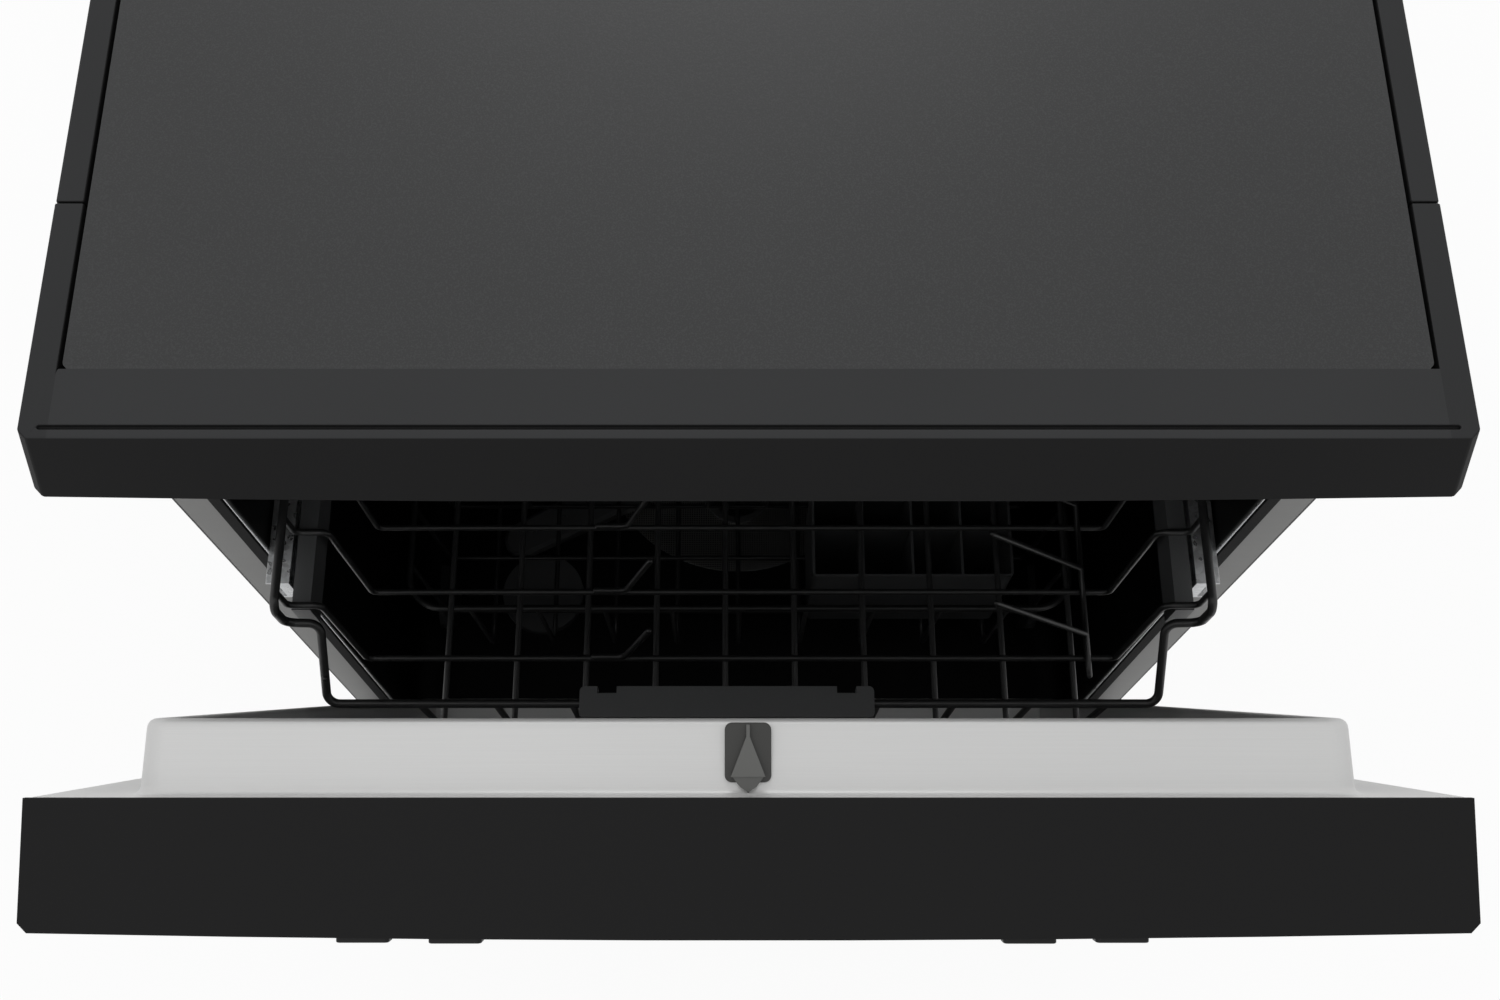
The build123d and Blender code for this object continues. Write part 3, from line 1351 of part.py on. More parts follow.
# Lower rack on its wheels
LOWER_LEAN = 8.0
LOWER_CROSS_COUNT = 9
LOWER_LONG_COUNT = 9
LOWER_MARGIN = 20.0
LOWER_CORNER = 26.0
LOWER_TINE = 88.0
LOWER_TINE_ROWS = (2, 6)
MOUNT_THICKNESS = 6.0
MOUNT_LENGTH = 34.0
WHEEL_WIDTH = 8.0
WHEEL_ROOM = 23.0
WHEEL_PIN = 4.0
WHEEL_BEHIND = (95.0, 425.0)

WHEEL_OUTER = HALF_TUB - WHEEL_ROOM
HALF_LOWER = LOWER_WIDTH / 2
LOWER_FRONT_Y = behind(LOWER_FRONT)
LOWER_REAR_Y = LOWER_FRONT_Y + LOWER_LENGTH
LOWER_LONG_HEIGHT = LOWER_FLOOR_HEIGHT - 2 * WIRE + WELD
WHEEL_HEIGHT = TUB_FLOOR + SEAT_GAP + WHEEL_RADIUS

lower_wires = [
    wire(
        [
            (-HALF_LOWER, LOWER_FRONT_Y, LOWER_RIM_HEIGHT),
            (-HALF_LOWER, LOWER_REAR_Y, LOWER_RIM_HEIGHT),
            (HALF_LOWER, LOWER_REAR_Y, LOWER_RIM_HEIGHT),
            (HALF_LOWER, LOWER_FRONT_Y, LOWER_RIM_HEIGHT),
        ],
        RIM_WIRE,
        LOWER_CORNER,
        closed=True,
    )
]
lower_cross_pitch = (LOWER_LENGTH - 2 * LOWER_CORNER - 2 * LOWER_LEAN) / (LOWER_CROSS_COUNT - 1)
lower_cross = [
    LOWER_FRONT_Y + LOWER_CORNER + LOWER_LEAN + lower_cross_pitch * number
    for number in range(LOWER_CROSS_COUNT)
]
for cross_y in lower_cross:
    lower_wires.append(
        wire(
            mirrored(
                [
                    (-HALF_LOWER, cross_y, LOWER_RIM_HEIGHT),
                    (-HALF_LOWER + LOWER_LEAN, cross_y, LOWER_FLOOR_HEIGHT),
                ]
            ),
            WIRE,
            WIRE_BEND,
        )
    )
lower_long_pitch = 2 * (HALF_LOWER - LOWER_CORNER - LOWER_MARGIN) / (LOWER_LONG_COUNT - 1)
lower_long = [
    (number - (LOWER_LONG_COUNT - 1) / 2) * lower_long_pitch for number in range(LOWER_LONG_COUNT)
]
for long_x in lower_long:
    lower_wires.append(
        wire(
            [
                (long_x, LOWER_FRONT_Y, LOWER_RIM_HEIGHT),
                (long_x, LOWER_FRONT_Y + LOWER_LEAN, LOWER_LONG_HEIGHT),
                (long_x, LOWER_REAR_Y - LOWER_LEAN, LOWER_LONG_HEIGHT),
                (long_x, LOWER_REAR_Y, LOWER_RIM_HEIGHT),
            ],
            WIRE,
            WIRE_BEND,
        )
    )
tine_pitch = lower_long_pitch / 2
tine_places = [
    (number - LOWER_LONG_COUNT + 1) * tine_pitch
    for number in range(2 * LOWER_LONG_COUNT - 1)
]
for row in LOWER_TINE_ROWS:
    for tine_x in tine_places[1::2]:
        lower_wires.append(
            wire(
                [
                    (tine_x, lower_cross[row], LOWER_FLOOR_HEIGHT),
                    (tine_x, lower_cross[row] + LOWER_LEAN, LOWER_FLOOR_HEIGHT + LOWER_TINE),
                ],
                WIRE,
                0,
            )
        )
with BuildPart() as lower_basket:
    add(lower_wires)
    for hand in (-1, 1):
        for wheel in WHEEL_BEHIND:
            mount_x = hand * (WHEEL_OUTER - WHEEL_WIDTH - SEAT_GAP)
            block(
                (mount_x - hand * MOUNT_THICKNESS, mount_x),
                (behind(wheel) - MOUNT_LENGTH / 2, behind(wheel) + MOUNT_LENGTH / 2),
                (WHEEL_HEIGHT - 2 * WHEEL_PIN, LOWER_FLOOR_HEIGHT + WHEEL_RADIUS),
            )
            rod(
                (mount_x, behind(wheel), WHEEL_HEIGHT),
                (hand, 0, 0),
                WHEEL_PIN,
                WHEEL_WIDTH + 2 * SEAT_GAP,
            )
keep(lower_basket.part, "lower_rack_basket")

SPOKE_COUNT = 6
SPOKE_HOLE = 3.2
TYRE_SHARE = 0.62

for wheel, name in zip(WHEEL_BEHIND, ("lower_front_wheels", "lower_rear_wheels")):
    with BuildPart() as wheels:
        for hand in (-1, 1):
            inner = hand * (WHEEL_OUTER - WHEEL_WIDTH)
            rod((inner, behind(wheel), WHEEL_HEIGHT), (hand, 0, 0), WHEEL_RADIUS, WHEEL_WIDTH)
            with Locations(Plane(origin=(inner, behind(wheel), WHEEL_HEIGHT), z_dir=(hand, 0, 0))):
                with PolarLocations(WHEEL_RADIUS * TYRE_SHARE, SPOKE_COUNT):
                    Cylinder(SPOKE_HOLE, 3 * WHEEL_WIDTH, mode=Mode.SUBTRACT)
            rod(
                (inner - hand * CUT, behind(wheel), WHEEL_HEIGHT),
                (hand, 0, 0),
                WHEEL_PIN + FIT,
                WHEEL_WIDTH + 2 * CUT,
                mode=Mode.SUBTRACT,
            )
    keep(wheels.part, name)

# Folding row of tines across the lower rack
FOLD_ROW = 4
ROD_END = 12.0
lower_fold_z = LOWER_FLOOR_HEIGHT + 2 * WIRE + SEAT_GAP
lower_fold_y = lower_cross[FOLD_ROW] + LOWER_LEAN
row_wires = [
    wire(
        [
            (tine_places[0] - ROD_END, lower_cross[FOLD_ROW], lower_fold_z),
            (tine_places[-1] + ROD_END, lower_cross[FOLD_ROW], lower_fold_z),
        ],
        WIRE,
        0,
    )
]
for tine_x in tine_places[1::2]:
    row_wires.append(
        wire(
            [
                (tine_x, lower_cross[FOLD_ROW], lower_fold_z),
                (tine_x, lower_fold_y, lower_fold_z + LOWER_TINE),
            ],
            WIRE,
            0,
        )
    )
with BuildPart() as lower_tines:
    add(row_wires)
keep(lower_tines.part, "lower_rack_tines")

# Cutlery basket with a grid of cells, standing in the lower rack's front right corner
CUTLERY_SIZE = (150.0, 76.0, 112.0)
CUTLERY_X = 130.0
CUTLERY_WALL = 2.0
CUTLERY_CELLS = (4, 2)

cutlery_y = (lower_cross[0] + lower_cross[1]) / 2 + LOWER_LEAN
cutlery_z = LOWER_FLOOR_HEIGHT + WIRE + SEAT_GAP
cell_x = (CUTLERY_SIZE[0] - (CUTLERY_CELLS[0] + 1) * CUTLERY_WALL) / CUTLERY_CELLS[0]
cell_y = (CUTLERY_SIZE[1] - (CUTLERY_CELLS[1] + 1) * CUTLERY_WALL) / CUTLERY_CELLS[1]

with BuildPart() as cutlery_basket:
    block(
        (CUTLERY_X - CUTLERY_SIZE[0] / 2, CUTLERY_X + CUTLERY_SIZE[0] / 2),
        (cutlery_y - CUTLERY_SIZE[1] / 2, cutlery_y + CUTLERY_SIZE[1] / 2),
        (cutlery_z, cutlery_z + CUTLERY_SIZE[2]),
    )
    fillet(cutlery_basket.edges().filter_by(Axis.Z), 2 * CUTLERY_WALL)
    with BuildSketch(Plane.XY.offset(cutlery_z + CUTLERY_WALL)):
        with Locations((CUTLERY_X, cutlery_y)):
            with GridLocations(cell_x + CUTLERY_WALL, cell_y + CUTLERY_WALL, *CUTLERY_CELLS):
                Rectangle(cell_x, cell_y)
    extrude(amount=CUTLERY_SIZE[2], mode=Mode.SUBTRACT)
keep(cutlery_basket.part, "cutlery_basket")

# Hinge brackets with their pins, the door's hinge arms, and the balancing springs
BRACKET_INSET = 13.0
BRACKET_THICKNESS = 2.0
BRACKET_REACH = 60.0
BRACKET_HEIGHT = (89.6, 135.0)
BRACKET_NOSE = 10.0
BRACKET_NOSE_HEIGHT = (96.0, 115.0)
HINGE_PIN = 4.0
ARM_HUB_RADIUS = 10.5
LEVER_BACK = 47.0
LEVER_DOWN = 17.0
LEVER_HALF = 6.0
LEG_FOOT = 14.0
LEG_FRONT = 40.0
LEG_TOP = 150.0
LEG_BACK = DOOR_GAP + LINER + SEAT_GAP
BRACKET_X = HALF_WIDTH - BRACKET_INSET

with BuildPart() as hinge_brackets:
    for hand in (-1, 1):
        block(
            (hand * BRACKET_X, hand * (BRACKET_X + BRACKET_THICKNESS)),
            (behind(PANEL_RETURN / 4), behind(BRACKET_REACH)),
            BRACKET_HEIGHT,
        )
        block(
            (hand * BRACKET_X, hand * (BRACKET_X + BRACKET_THICKNESS)),
            (behind(-BRACKET_NOSE), behind(PANEL_RETURN / 4)),
            BRACKET_NOSE_HEIGHT,
        )
        block(
            (hand * BRACKET_X, hand * (PANEL_INNER - SEAT_GAP)),
            (behind(BRACKET_REACH - BRACKET_THICKNESS), behind(BRACKET_REACH)),
            (BASE_TOP + SEAT_GAP, BRACKET_HEIGHT[1]),
        )
        rod(
            (hand * BRACKET_X, SEAL_Y, HINGE_HEIGHT),
            (-hand, 0, 0),
            HINGE_PIN,
            BRACKET_X - ARM_X + BRACKET_THICKNESS,
        )
keep(hinge_brackets.part, "hinge_brackets")

with BuildPart() as hinge_arms:
    for hand in (-1, 1):
        arm_low = ARM_X if hand > 0 else -ARM_X - ARM_PLATE
        with BuildSketch(Plane.YZ.offset(arm_low)):
            with Locations((SEAL_Y, HINGE_HEIGHT)):
                Circle(ARM_HUB_RADIUS)
            with BuildLine():
                Polyline(
                    (behind(0), HINGE_HEIGHT + LEVER_HALF),
                    (behind(LEVER_BACK), HINGE_HEIGHT - LEVER_DOWN + LEVER_HALF),
                    (behind(LEVER_BACK), HINGE_HEIGHT - LEVER_DOWN - LEVER_HALF),
                    (behind(0), HINGE_HEIGHT - LEVER_HALF),
                    close=True,
                )
            make_face()
            with BuildLine():
                Polyline(
                    (behind(LEVER_HALF), HINGE_HEIGHT),
                    (behind(-LEVER_HALF), HINGE_HEIGHT - LEVER_HALF),
                    (behind(-LEG_FRONT), HINGE_HEIGHT + LEG_FOOT),
                    (behind(-LEG_FRONT), HINGE_HEIGHT + LEG_TOP),
                    (behind(-LEG_BACK), HINGE_HEIGHT + LEG_TOP),
                    (behind(-LEG_BACK), HINGE_HEIGHT + 2 * LEG_BACK),
                    close=True,
                )
            make_face()
            with Locations((SEAL_Y, HINGE_HEIGHT)):
                Circle(HINGE_PIN + FIT, mode=Mode.SUBTRACT)
        extrude(amount=ARM_PLATE)
keep(opened(hinge_arms.part), "hinge_arms")

SPRING_WIRE = 1.5
SPRING_RADIUS = 7.0
SPRING_TURNS = 22
SPRING_PITCH = 5.2
SPRING_BEHIND = 250.0
SPRING_DISC = 3.6
CABLE_RADIUS = 1.5
SPRING_HEIGHT = 100.0

lever_turn = radians(DOOR_OPEN)
lever_end_y = behind(LEVER_BACK * cos(lever_turn) + LEVER_DOWN * sin(lever_turn))
spring_length = SPRING_TURNS * SPRING_PITCH

with BuildPart() as springs:
    for hand in (-1, 1):
        spring_x = hand * (ARM_X + ARM_PLATE / 2)
        helix_plane = Plane(
            origin=(spring_x, behind(SPRING_BEHIND), SPRING_HEIGHT), x_dir=(1, 0, 0), z_dir=(0, 1, 0)
        )
        coil = helix_plane.location * Helix(SPRING_PITCH, spring_length, SPRING_RADIUS)
        with BuildSketch(Plane(origin=coil @ 0, z_dir=coil % 0)):
            Circle(SPRING_WIRE)
        sweep(path=coil, is_frenet=True)
        # Rods from the coil's end discs to the lever of the hinge arm and to the anchor
        for start, finish in (
            (lever_end_y + LEVER_HALF / 2, behind(SPRING_BEHIND)),
            (behind(SPRING_BEHIND) + spring_length, behind(ANCHOR_BEHIND) - SEAT_GAP),
        ):
            rod((spring_x, start, SPRING_HEIGHT), (0, 1, 0), CABLE_RADIUS, finish - start)
        for disc_y in (behind(SPRING_BEHIND), behind(SPRING_BEHIND) + spring_length):
            rod(
                (spring_x, disc_y - SPRING_DISC / 2, SPRING_HEIGHT),
                (0, 1, 0),
                SPRING_RADIUS + 1.5 * SPRING_WIRE,
                SPRING_DISC,
            )
print("door spring, least gap between turns", round(SPRING_PITCH - 2 * SPRING_WIRE, 2), "mm")
keep(springs.part, "door_springs")

# Door: outer panel, liner with a raised rim, and the fascia that makes its top
FASCIA_TALL = 112.0
FASCIA_WALL = 2.5
DOOR_BOTTOM = 4.0
SIDE_BACK = 6.0
BOTTOM_BACK = 28.0
LINER_BOTTOM = 18.0
LINER_TOP_DROP = 3.3
RIM_ROOM = 11.5
RIM_DRAFT = 2.0
RIM_LOW = 42.0
RIM_TOP_DROP = 13.0
RIM_CREST = 29.0
RIM_LAND = 11.0
RIM_ROUND = 14.0
RECESS_DEPTH = 22.0
RECESS_DRAFT = 4.0
INSERT_HALF = 9.8
INSERT_BEHIND = (1.0, 26.0)

DOOR_SIDE = HALF_WIDTH - SHEET
LINER_HALF = DOOR_SIDE - SHEET
LINER_TOP = DOOR_HEIGHT - LINER_TOP_DROP
RIM_HALF = HALF_TUB - RIM_ROOM
RIM_TOP = DOOR_HEIGHT - RIM_TOP_DROP
FASCIA_BOTTOM = DOOR_HEIGHT - FASCIA_TALL


def on_door(height):
    """Height of a place on the closed door, from its height over the hinge."""
    return HINGE_HEIGHT + height


with BuildPart() as outer_panel:
    block(
        (-DOOR_SIDE, DOOR_SIDE),
        (behind(-DOOR_FRONT), behind(SHEET - DOOR_FRONT)),
        (on_door(DOOR_BOTTOM), on_door(FASCIA_BOTTOM - SEAT_GAP)),
    )
    for hand in (-1, 1):
        block(
            (hand * (DOOR_SIDE - SHEET), hand * DOOR_SIDE),
            (behind(-DOOR_FRONT), behind(-SIDE_BACK)),
            (on_door(DOOR_BOTTOM), on_door(FASCIA_BOTTOM - SEAT_GAP)),
        )
    block(
        (-DOOR_SIDE, DOOR_SIDE),
        (behind(-DOOR_FRONT), behind(-BOTTOM_BACK)),
        (on_door(DOOR_BOTTOM), on_door(DOOR_BOTTOM + SHEET)),
    )
keep(opened(outer_panel.part), "door_outer_panel")


def rim_frame(inset):
    """Width, height and corner of the rim's outline, drawn in by an inset."""
    return (
        2 * (RIM_HALF - inset),
        RIM_TOP - RIM_LOW - 2 * inset,
        max(RIM_ROUND - inset, RIM_ROUND / 4),
    )


rim_centre = (0, on_door((RIM_LOW + RIM_TOP) / 2))


def rim_loft(first, second, mode=Mode.ADD):
    """Drafted block between two rim outlines, each given by its distance ahead and its inset."""
    faces = []
    for ahead, inset in (first, second):
        with BuildSketch(upright(ahead)) as outline:
            with Locations(rim_centre):
                RectangleRounded(*rim_frame(inset))
        faces.append(outline.sketch.face())
    loft(faces, ruled=True, mode=mode)


with BuildPart() as liner:
    block(
        (-LINER_HALF, LINER_HALF),
        (behind(-DOOR_GAP - LINER), behind(-DOOR_GAP)),
        (on_door(LINER_BOTTOM), on_door(LINER_TOP)),
    )
    rim_loft((DOOR_GAP, 0), (-RIM_CREST, RIM_DRAFT))
    rim_loft((DOOR_GAP, RIM_LAND + RIM_DRAFT - LINER), (RECESS_DEPTH + LINER, RIM_LAND + RECESS_DRAFT))
    rim_loft(
        (DOOR_GAP + LINER, LINER),
        (-RIM_CREST + LINER, RIM_DRAFT + LINER),
        mode=Mode.SUBTRACT,
    )
    rim_loft(
        (DOOR_GAP + LINER, RIM_LAND + RIM_DRAFT),
        (-RIM_CREST + LINER, RIM_LAND + RIM_DRAFT - 2 * LINER),
    )
    rim_loft(
        (RECESS_DEPTH + LINER, RIM_LAND + RECESS_DRAFT),
        (DOOR_GAP + LINER, RIM_LAND + RIM_DRAFT - LINER),
    )
    rim_loft(
        (-RIM_CREST - CUT, RIM_LAND),
        (RECESS_DEPTH, RIM_LAND + RECESS_DRAFT + LINER),
        mode=Mode.SUBTRACT,
    )
    block(
        (-INSERT_HALF - SEAT_GAP, INSERT_HALF + SEAT_GAP),
        (behind(INSERT_BEHIND[0] - SEAT_GAP), behind(INSERT_BEHIND[1] + SEAT_GAP)),
        (on_door(RIM_TOP - 2 * LINER - RIM_DRAFT), on_door(RIM_TOP) + CUT),
        mode=Mode.SUBTRACT,
    )
keep(opened(liner.part), "door_inner_panel")

# Fascia: bowed front, flat top, a finger grip under its front and holes for the buttons
FASCIA_HALF = HALF_WIDTH
FASCIA_CORNER = 4.0
GRIP_HALF = 82.0
GRIP_DROPS = (103.0, 59.0)
GRIP_DEPTH = 28.0
GRIP_ROUND = 8.0
BUTTON_PLACES = (-158.5, -120.5, 115.5, 153.5)
BUTTON_WIDTH = 22.0
BUTTON_TALL = 9.0
BUTTON_DROP = 3.2
BUTTON_PROUD = 2.3
BUTTON_CORNER = 2.0
BUTTON_FLANGE = 2.0
BUTTON_FLANGE_THICKNESS = 1.2
BUTTON_TRAVEL = 1.2
PLUNGER = 2.5
SWITCH = 3.0
BOARD_AHEAD = 39.0
BOARD_THICKNESS = 1.6
BOARD_TALL = 34.0
BOARD_HALF = 172.0

GRIP_HEIGHT = tuple(DOOR_HEIGHT - drop for drop in GRIP_DROPS)
button_height = on_door(DOOR_HEIGHT - BUTTON_DROP - BUTTON_TALL / 2)


def fascia_outline(inset):
    """Plan of the fascia, drawn in by its wall."""
    half = FASCIA_HALF - inset
    front_y = behind(-DOOR_FRONT + inset)
    back_y = behind(-DOOR_GAP)
    corner = FASCIA_CORNER - min(inset, FASCIA_CORNER / 2)
    with BuildLine() as outline:
        Polyline(
            (-half + corner, front_y),
            (-half, front_y + corner),
            (-half, back_y),
            (half, back_y),
            (half, front_y + corner),
            (half - corner, front_y),
        )
        ThreePointArc((half - corner, front_y), (0, front_y - DOOR_BOW), (-half + corner, front_y))
    return outline.line


FASCIA_OUTER = fascia_outline(0)
FASCIA_INNER = fascia_outline(FASCIA_WALL)

with BuildPart() as fascia:
    with BuildSketch(Plane.XY.offset(on_door(FASCIA_BOTTOM))):
        with BuildLine():
            add(FASCIA_OUTER)
        make_face()
    extrude(amount=FASCIA_TALL)
    with BuildSketch(Plane.XY.offset(on_door(FASCIA_BOTTOM) - CUT)):
        with BuildLine():
            add(FASCIA_INNER)
        make_face()
    extrude(amount=FASCIA_TALL - FASCIA_WALL + CUT, mode=Mode.SUBTRACT)
    block(
        (-FASCIA_HALF, FASCIA_HALF),
        (behind(-DOOR_GAP - 2 * LINER), behind(0)),
        (on_door(FASCIA_BOTTOM) - CUT, on_door(LINER_TOP + SEAT_GAP)),
        mode=Mode.SUBTRACT,
    )
    block(
        (-GRIP_HALF - FASCIA_WALL, GRIP_HALF + FASCIA_WALL),
        (behind(-DOOR_FRONT - DOOR_BOW / 2), behind(-DOOR_FRONT + GRIP_DEPTH + FASCIA_WALL)),
        (on_door(GRIP_HEIGHT[0] - FASCIA_WALL), on_door(GRIP_HEIGHT[1] + FASCIA_WALL)),
    )
    with BuildSketch(upright(DOOR_FRONT - GRIP_DEPTH)):
        with Locations((0, on_door(sum(GRIP_HEIGHT) / 2))):
            RectangleRounded(2 * GRIP_HALF, GRIP_HEIGHT[1] - GRIP_HEIGHT[0], GRIP_ROUND)
    extrude(amount=GRIP_DEPTH + DOOR_BOW + CUT, mode=Mode.SUBTRACT)
    with BuildSketch(upright(DOOR_FRONT - FASCIA_WALL - CUT)):
        with Locations(*((place, button_height) for place in BUTTON_PLACES)):
            RectangleRounded(
                BUTTON_WIDTH + 2 * SEAT_GAP, BUTTON_TALL + 2 * SEAT_GAP, BUTTON_CORNER + SEAT_GAP
            )
    extrude(amount=FASCIA_WALL + DOOR_BOW + 2 * CUT, mode=Mode.SUBTRACT)
keep(opened(fascia.part), "door_fascia")

for place, name in zip(
    BUTTON_PLACES, ("power_button", "program_button", "delay_button", "start_button")
):
    bow_there = DOOR_BOW * (1 - (place / FASCIA_HALF) ** 2)
    flange_ahead = DOOR_FRONT - FASCIA_WALL + bow_there - SEAT_GAP - DOOR_BOW / 4
    with BuildPart() as button:
        with BuildSketch(upright(flange_ahead - BUTTON_FLANGE_THICKNESS)):
            with Locations((place, button_height)):
                RectangleRounded(BUTTON_WIDTH, BUTTON_TALL, BUTTON_CORNER)
        extrude(amount=DOOR_FRONT + bow_there + BUTTON_PROUD - flange_ahead + BUTTON_FLANGE_THICKNESS)
        fillet(button.faces().sort_by(Axis.Y)[0].edges(), BUTTON_CORNER / 3)
        block(
            (place - BUTTON_WIDTH / 2 - BUTTON_FLANGE, place + BUTTON_WIDTH / 2 + BUTTON_FLANGE),
            (behind(-flange_ahead), behind(-flange_ahead + BUTTON_FLANGE_THICKNESS)),
            (button_height - BUTTON_TALL / 2 - BUTTON_FLANGE, button_height + BUTTON_TALL / 2),
        )
        rod(
            (place, behind(-flange_ahead), button_height),
            (0, 1, 0),
            PLUNGER,
            flange_ahead - BOARD_AHEAD - BOARD_THICKNESS - SWITCH - BUTTON_TRAVEL - SEAT_GAP,
        )
    keep(opened(button.part), name)

with BuildPart() as board:
    block(
        (-BOARD_HALF, BOARD_HALF),
        (behind(-BOARD_AHEAD - BOARD_THICKNESS), behind(-BOARD_AHEAD)),
        (
            on_door(DOOR_HEIGHT - FASCIA_WALL - SEAT_GAP - BOARD_TALL),
            on_door(DOOR_HEIGHT - FASCIA_WALL - SEAT_GAP),
        ),
    )
    for place in BUTTON_PLACES:
        block(
            (place - SWITCH, place + SWITCH),
            (behind(-BOARD_AHEAD - BOARD_THICKNESS - SWITCH), behind(-BOARD_AHEAD - BOARD_THICKNESS)),
            (button_height - SWITCH, button_height + SWITCH),
        )
    for place in (-BOARD_HALF / 2, 0, BOARD_HALF / 3):
        block(
            (place - 3 * SWITCH, place + 3 * SWITCH),
            (behind(-BOARD_AHEAD), behind(-BOARD_AHEAD + 3 * SWITCH)),
            (button_height - 5 * SWITCH, button_height),
        )
keep(opened(board.part), "control_board")

# Bottom seal of the door
SEAL_HEIGHT = (19.0, 27.0)
SEAL_HALF = 262.0

with BuildPart() as bottom_seal:
    block(
        (-SEAL_HALF, SEAL_HALF),
        (behind(-DOOR_GAP), behind(-SEAT_GAP)),
        (on_door(SEAL_HEIGHT[0]), on_door(SEAL_HEIGHT[1])),
    )
keep(opened(bottom_seal.part), "door_bottom_seal")

# Latch insert on the rim's top, with a drop-shaped wedge
INSERT_THICKNESS = 1.2
WEDGE_TALL = 2.6
WEDGE_HALF = 6.5
WEDGE_TIP = 1.0
WEDGE_BEHIND = (2.0, 24.0)
WEDGE_WIDEST = 8.0
WEDGE_DRAFT = 12.0

with BuildPart() as latch_insert:
    rim_top_z = on_door(RIM_TOP)
    block(
        (-INSERT_HALF, INSERT_HALF),
        (behind(INSERT_BEHIND[0]), behind(INSERT_BEHIND[1])),
        (rim_top_z - RIM_DRAFT - LINER, rim_top_z + INSERT_THICKNESS),
    )
    with BuildSketch(Plane.XY.offset(rim_top_z + INSERT_THICKNESS)):
        with BuildLine():
            Polyline(
                (0, behind(WEDGE_BEHIND[0])),
                (-WEDGE_HALF, behind(WEDGE_WIDEST)),
                (-WEDGE_TIP, behind(WEDGE_BEHIND[1])),
                (WEDGE_TIP, behind(WEDGE_BEHIND[1])),
                (WEDGE_HALF, behind(WEDGE_WIDEST)),
                close=True,
            )
        make_face()
    extrude(amount=WEDGE_TALL, taper=WEDGE_DRAFT)
keep(opened(latch_insert.part), "latch_insert")

# Detergent dispenser on the liner, with its lid and the rinse aid cap
DISPENSER_X = (-118.0, 76.0)
DISPENSER_HEIGHT = (226.0, 358.0)
DISPENSER_FACE = -4.0
DISPENSER_ROUND = 14.0
CUP_X = (-100.0, -18.0)
CUP_HEIGHT = (248.0, 330.0)
CUP_DEPTH = 20.0
LID_THICKNESS = 3.0
LID_MARGIN = 6.0
LID_PIN = 2.5
CAP_X = 36.0
CAP_HEIGHT = 286.0
RINSE_RADIUS = 17.0
RINSE_TALL = 4.0
RINSE_STEM = 8.0
RINSE_GRIP = 3.0

LID_FACE = DISPENSER_FACE - SEAT_GAP
lid_pin_height = on_door(CUP_HEIGHT[0] - LID_MARGIN)
lid_pin_ahead = LID_FACE - LID_THICKNESS / 2

with BuildPart() as dispenser:
    with BuildSketch(upright(DISPENSER_FACE)):
        with Locations((sum(DISPENSER_X) / 2, on_door(sum(DISPENSER_HEIGHT) / 2))):
            RectangleRounded(
                DISPENSER_X[1] - DISPENSER_X[0],
                DISPENSER_HEIGHT[1] - DISPENSER_HEIGHT[0],
                DISPENSER_ROUND,
            )
    extrude(amount=RECESS_DEPTH - SEAT_GAP - DISPENSER_FACE)
    block(
        CUP_X,
        (behind(-DISPENSER_FACE + CUT), behind(-DISPENSER_FACE - CUP_DEPTH)),
        (on_door(CUP_HEIGHT[0]), on_door(CUP_HEIGHT[1])),
        mode=Mode.SUBTRACT,
    )
    rod(
        (CAP_X, behind(-DISPENSER_FACE + CUT), on_door(CAP_HEIGHT)),
        (0, -1, 0),
        RINSE_STEM + SEAT_GAP,
        CUP_DEPTH,
        mode=Mode.SUBTRACT,
    )
    for knuckle in CUP_X:
        block(
            (knuckle - 2 * LID_PIN, knuckle + 2 * LID_PIN),
            (behind(-DISPENSER_FACE), behind(-lid_pin_ahead + LID_PIN)),
            (lid_pin_height - LID_PIN - 2 * SHEET, lid_pin_height - LID_PIN),
        )
keep(opened(dispenser.part), "dispenser_body")

with BuildPart() as lid:
    block(
        (CUP_X[0] - LID_MARGIN, CUP_X[1] + LID_MARGIN),
        (behind(-LID_FACE), behind(-LID_FACE + LID_THICKNESS)),
        (lid_pin_height, on_door(CUP_HEIGHT[1] + LID_MARGIN)),
    )
    rod(
        (CUP_X[0] + 3 * LID_PIN, behind(-lid_pin_ahead), lid_pin_height),
        (1, 0, 0),
        LID_THICKNESS / 2,
        CUP_X[1] - CUP_X[0] - 6 * LID_PIN,
    )
    block(
        (CUP_X[0] + 4 * LID_MARGIN, CUP_X[1] - 4 * LID_MARGIN),
        (behind(-LID_FACE + LID_THICKNESS), behind(-LID_FACE + 2 * LID_THICKNESS)),
        (on_door(CUP_HEIGHT[1] - LID_MARGIN), on_door(CUP_HEIGHT[1])),
    )
keep(opened(lid.part), "dispenser_lid")

with BuildPart() as rinse_cap:
    rod(
        (CAP_X, behind(-LID_FACE), on_door(CAP_HEIGHT)),
        (0, 1, 0),
        RINSE_RADIUS,
        RINSE_TALL,
    )
    rod((CAP_X, behind(-LID_FACE), on_door(CAP_HEIGHT)), (0, -1, 0), RINSE_STEM, CUP_DEPTH / 2)
    block(
        (CAP_X - RINSE_RADIUS + RINSE_GRIP, CAP_X + RINSE_RADIUS - RINSE_GRIP),
        (behind(-LID_FACE + RINSE_TALL), behind(-LID_FACE + 2 * RINSE_TALL)),
        (on_door(CAP_HEIGHT) - RINSE_GRIP / 2, on_door(CAP_HEIGHT) + RINSE_GRIP / 2),
    )
keep(opened(rinse_cap.part), "rinse_aid_cap")

